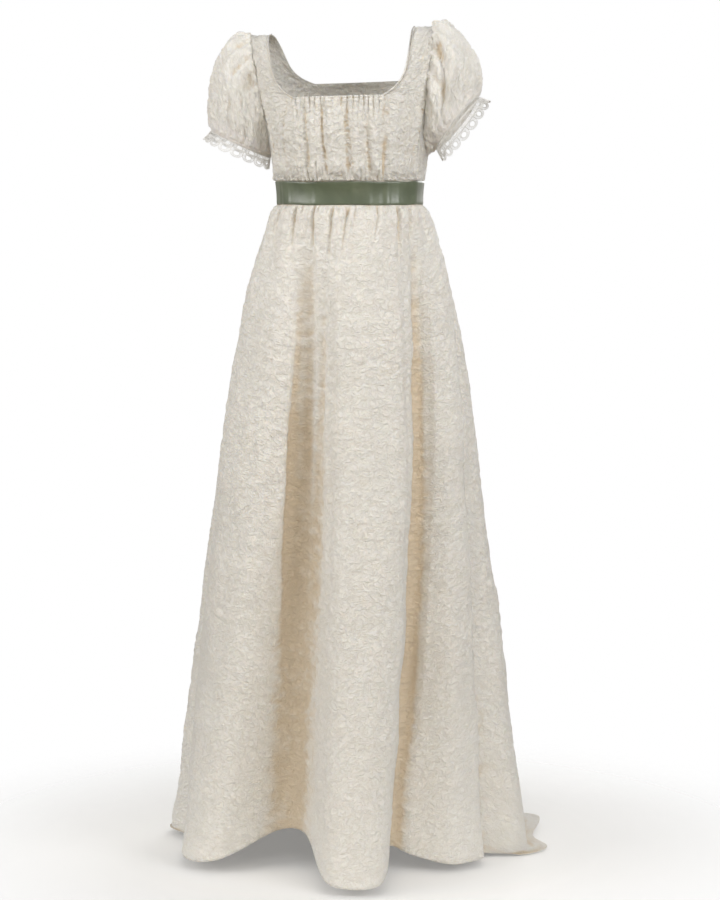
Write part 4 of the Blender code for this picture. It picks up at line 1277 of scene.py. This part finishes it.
def build_skirt(name, label, lines, first, last, columns, rows, seed, material):
    """Skirt panel between two lines: a finely drawn outer side on a plainer lining side."""
    trial_places = np.linspace(first, last, 1200)
    trial, _ = skirt_grid(lines, trial_places, np.array([0.35, 0.7]))
    steps = np.linalg.norm(np.diff(trial, axis=0), axis=2).mean(1)
    travelled = np.concatenate([[0.0], np.cumsum(steps)])
    places = np.interp(np.linspace(0.0, travelled[-1], columns + 1), travelled, trial_places)
    steps = np.linspace(0.0, 1.0, rows + 1 - HIDDEN_ROWS)
    shares = steps * (0.72 + 0.28 * steps)
    points, turn = skirt_grid(lines, places, shares)
    fall = np.maximum((WAIST_Z - RIBBON_HEIGHT / 2.0) - points[..., 2], 0.0)
    swelling = np.zeros(fall.shape)
    for gather_turn, half_width, depth, length in SKIRT_GATHERS:
        gap = turned(turn - gather_turn)[:, None]
        swelling += depth * swell(gap, half_width) * (1.0 - ease(fall / length))
    swelling *= ease(fall / GATHER_ONSET)
    way = np.stack([sine(turn), -cosine(turn), np.zeros(len(turn))], -1)[:, None, :]
    points = points + way * swelling[..., None]
    seam_shift = np.zeros(columns + 1)
    seam_shift[0] = SEAM_GAP / 2.0
    seam_shift[-1] = -SEAM_GAP / 2.0
    levels = np.linspace(-SEAM_GAP / 2.0, -RIBBON_HEIGHT / 2.0, HIDDEN_ROWS + 1)[:-1] / (CHEST_Z - WAIST_Z)
    hidden = settle(torso_point(turned(turn)[:, None], levels[None, :]))
    base = np.concatenate([hidden, points], 1)
    side_way = np.stack([cosine(turn), sine(turn), np.zeros(len(turn))], -1)[:, None, :]
    base = base + side_way * seam_shift[:, None, None]
    count = rows + 1
    fall = np.concatenate([np.zeros((columns + 1, HIDDEN_ROWS)), fall], 1)
    share = np.concatenate([np.zeros(HIDDEN_ROWS), shares])[None, :]
    across = np.linalg.norm(np.diff(base, axis=0), axis=2)
    u = np.concatenate([np.zeros((1, count)), np.cumsum(across, axis=0)], 0)
    width = u[-1]
    u = u - u[columns // 2][None, :]
    along = np.linalg.norm(np.diff(base, axis=1), axis=2)
    v = np.concatenate([np.zeros((columns + 1, 1)), np.cumsum(along, axis=1)], 1)
    scale = np.gradient(u, axis=0) / np.gradient(places)[:, None] * 1000.0
    quads = grid_quads(columns + 1, count)
    if (vertex_normals(base.reshape(-1, 3), quads) * (base - base.mean((0, 1))).reshape(-1, 3)).sum() < 0.0:
        quads = quads[:, ::-1]

    free = ease(fall / 0.008)
    seam = np.minimum(u - u[0], u[-1] - u)
    hem = v[:, -1:] - v
    side = ease(seam / 0.008)
    amount = creases(places[:, None], share, SKIRT_CREASES, scale) * free * side
    wide_turn = turn[:, None]
    for valley, half_width, depth, length in WAIST_VALLEYS:
        gap = turned(wide_turn - valley)
        amount -= depth / 1000.0 * swell(gap, half_width) * (1.0 - ease(fall / (length / 1000.0))) * free * side
    low_turn, high_turn = turn.min(), turn.max()
    amount += gathers(wide_turn, fall, 3.3, 0.0040, 0.024, seed, low_turn, high_turn) * free * side
    edge = ease((hem - HEM_BAND) / 0.004)
    amount += SKIRT_CRINKLE * puckers(u, v, BROAD_PUCKER, seed) * free * side * (0.35 + 0.65 * edge)
    amount += SOFT_WAVE * soft_noise(u, v, 0.085, seed + 20) * ease(fall / 0.12) * side
    amount -= 0.0008 * swell(hem - HEM_BAND, 0.0018) + 0.0010 * swell(seam, 0.002) * free
    flat = base.reshape(-1, 3)
    outer = flat + vertex_normals(flat, quads) * amount.reshape(-1)[:, None]
    outer[:, 2] = np.maximum(outer[:, 2], FLOOR_Z + 0.0008)
    normals = vertex_normals(outer, quads)
    # Painted shade: depth in the crinkle's hollows and in the broad folds, which darkens the colour in the material
    hollow_shade = hollows(outer, quads, normals, 40) / HOLLOW_SHADE_DEPTHS["skirt"]
    broad = base
    for _ in range(3):
        broad = running_mean(broad, columns // 24)
    sunk = ((broad.reshape(-1, 3) - flat) * vertex_normals(flat, quads)).sum(1) * ease(seam / 0.12).ravel()
    # The painted shade in the folds is weaker towards the hem
    low_part = 1.0 - 0.45 * ease((share - 0.55) / 0.45)
    fold_shade_depth = np.maximum(sunk, 0.0).reshape(columns + 1, count) * low_part
    hollow_shade = hollow_shade + fold_shade_depth.ravel() / FOLD_SHADE_DEPTHS[label]

    coarse = amount.reshape(columns + 1, count)
    low = np.minimum(coarse, 0.0)
    for axis in (0, 1):
        low = np.minimum(low, np.minimum(np.roll(low, 1, axis), np.roll(low, -1, axis)))
    inner = (flat + vertex_normals(flat, quads) * (low.reshape(-1)[:, None] - SHELL)).reshape(columns + 1, count, 3)
    inner = inner[::2, ::2]
    inner_columns, inner_rows = inner.shape[:2]
    total = len(outer)
    inner_ids = total + np.arange(inner_columns * inner_rows).reshape(inner_columns, inner_rows)
    outer_ids = np.arange(total).reshape(columns + 1, count)
    inner_quads = grid_quads(inner_columns, inner_rows)[:, ::-1] + total

    def loop(ids):
        return np.concatenate([ids[:, 0], ids[-1, 1:], ids[-2::-1, -1], ids[0, -2:0:-1]])

    outer_loop = loop(outer_ids)
    inner_loop = loop(inner_ids)
    following = np.roll(inner_loop, -1)
    rim = np.stack([
        outer_loop[2::2].tolist() + [outer_loop[0]], outer_loop[1::2], outer_loop[::2], inner_loop, following,
    ], 1)
    flipped = quads[0, 1] == outer_ids[1, 0]
    if not flipped:
        rim = rim[:, ::-1]
        inner_quads = inner_quads[:, ::-1]
    cloth = np.stack([u, v], -1)
    inner_cloth = cloth[::2, ::2].reshape(-1, 2)
    every = np.concatenate([cloth.reshape(-1, 2), inner_cloth])
    faces = [quads, inner_quads, rim]
    maps = [every[part].reshape(-1, 2) for part in faces]
    values = {"hollow_shade": np.concatenate([hollow_shade, np.zeros(len(inner_cloth))])}
    mesh = make_mesh(name, np.concatenate([outer, inner.reshape(-1, 3)]), faces, maps, values)
    piece = add_piece(name, mesh, material, ["skirt_" + label])
    return piece, surface_area(outer, quads), float(width.max()), float(v[:, -1].max())


# Scene


def aim(item, target):
    item.rotation_euler = (Vector(target) - item.location).to_track_quat("-Z", "Y").to_euler()


def add_light(name, place, target, size, power, colour, spread):
    data = bpy.data.lights.new(name, "AREA")
    data.spread = np.radians(spread)
    data.shape = "RECTANGLE"
    data.size, data.size_y = size
    data.energy = power
    data.color = colour
    light = bpy.data.objects.new(name, data)
    light.location = place
    bpy.context.scene.collection.objects.link(light)
    aim(light, target)


def build_stage():
    """White room, pale floor that fades out, soft boxes and the photograph's camera."""
    scene = bpy.context.scene
    scene.view_settings.view_transform = "Standard"
    world = bpy.data.worlds.new("studio")
    scene.world = world
    world.use_nodes = True
    tree = world.node_tree
    background = tree.nodes["Background"]
    way = tree.nodes.new("ShaderNodeSeparateXYZ")
    tree.links.new(tree.nodes.new("ShaderNodeTexCoord").outputs["Generated"], way.inputs[0])
    rise = tree.nodes.new("ShaderNodeMapRange")
    rise.inputs["From Min"].default_value = -0.5
    rise.inputs["From Max"].default_value = 0.3
    tree.links.new(way.outputs["Z"], rise.inputs["Value"])
    sky = tree.nodes.new("ShaderNodeMix")
    sky.data_type = "RGBA"
    sky.inputs[6].default_value = LOW_SKY
    sky.inputs[7].default_value = HIGH_SKY
    tree.links.new(rise.outputs["Result"], sky.inputs[0])
    tree.links.new(sky.outputs[2], background.inputs["Color"])
    white = tree.nodes.new("ShaderNodeBackground")
    white.inputs["Strength"].default_value = 1.0
    white.inputs["Color"].default_value = (1.0, 1.0, 1.0, 1.0)
    path = tree.nodes.new("ShaderNodeLightPath")
    mix = tree.nodes.new("ShaderNodeMixShader")
    tree.links.new(path.outputs["Is Camera Ray"], mix.inputs[0])
    tree.links.new(background.outputs[0], mix.inputs[1])
    tree.links.new(white.outputs[0], mix.inputs[2])
    tree.links.new(mix.outputs[0], tree.nodes["World Output"].inputs["Surface"])

    mesh = bpy.data.meshes.new("floor")
    drawn = bmesh.new()
    bmesh.ops.create_circle(drawn, cap_ends=True, radius=FLOOR_RADIUS, segments=96)
    drawn.to_mesh(mesh)
    drawn.free()
    floor = bpy.data.objects.new("floor", mesh)
    floor.location = (0.0, 0.1, FLOOR_Z)
    scene.collection.objects.link(floor)
    n = Nodes("floor_white")
    place = n.put("TexCoord").outputs["Object"]
    length = n.put("VectorMath", operation="LENGTH")
    n.join(place, length.inputs[0])
    n.set(Base_Color=(0.84, 0.83, 0.81, 1.0), Roughness=0.9, Specular_IOR_Level=0.1,
          Emission_Color=(1.0, 1.0, 1.0, 1.0), Emission_Strength=0.18)
    clear = n.put("BsdfTransparent")
    fade = n.put("MixShader")
    n.join(n.ramp(length.outputs["Value"], 0.36, 0.95), fade.inputs[0])
    n.join(n.shader.outputs[0], fade.inputs[1])
    n.join(clear.outputs[0], fade.inputs[2])
    n.join(fade.outputs[0], n.tree.nodes["Material Output"].inputs["Surface"])
    mesh.materials.append(n.material)

    for light in LIGHTS:
        add_light(*light)

    data = bpy.data.cameras.new("camera")
    data.sensor_width = SENSOR_WIDTH
    data.lens = FOCAL_PIXELS / PHOTO_PIXELS * SENSOR_WIDTH
    camera = bpy.data.objects.new("camera", data)
    camera.location = CAMERA_PLACE
    camera.rotation_euler = Euler(np.radians(CAMERA_TURNS))
    scene.collection.objects.link(camera)
    scene.camera = camera


def build_gown():
    """Every piece of the gown."""
    bodice_ivory = cloth_material("ivory_bodice", BODICE_RELIEF)
    sleeve_ivory = cloth_material("ivory_sleeve", SLEEVE_RELIEF)
    skirt_ivory = cloth_material("ivory_skirt", SKIRT_RELIEF)
    lace_white = thread_material("lace_thread", LACE_WHITE)
    front, front_area = build_bodice(
        "bodice_front_cloth", True, CHEST_Z, BODICE_STEPS[0], BODICE_ROWS[0], STRAP_ROWS[0],
        BODICE_CREASES, 11, bodice_ivory)
    back, back_area = build_bodice(
        "bodice_back_cloth", False, BACK_NECK_Z, BODICE_STEPS[1], BODICE_ROWS[1], STRAP_ROWS[1],
        BACK_CREASES, 23, bodice_ivory)
    for label, side, seed in (("right", 1.0, 31), ("left", -1.0, 43)):
        name = "sleeve_" + label + "_cloth"
        build_sleeve(name, label, side, seed, sleeve_ivory)
        for half, start in (("front", 0.0), ("back", 180.0)):
            lace_name = label + "_" + half
            lace = build_lace("lace_" + lace_name + "_net", lace_name, side, start, lace_white)
    ribbon = build_ribbon("ribbon_band", ribbon_material())
    lines = skirt_lines()
    skirt_front = build_skirt(
        "skirt_front_cloth", "front", lines, 0, SEAM_LINE, SKIRT_COLUMNS[0], SKIRT_ROWS[0], 57, skirt_ivory)
    skirt_back = build_skirt(
        "skirt_back_cloth", "back", lines, SEAM_LINE, len(lines), SKIRT_COLUMNS[1], SKIRT_ROWS[1], 69,
        skirt_ivory)


build_gown()
build_stage()
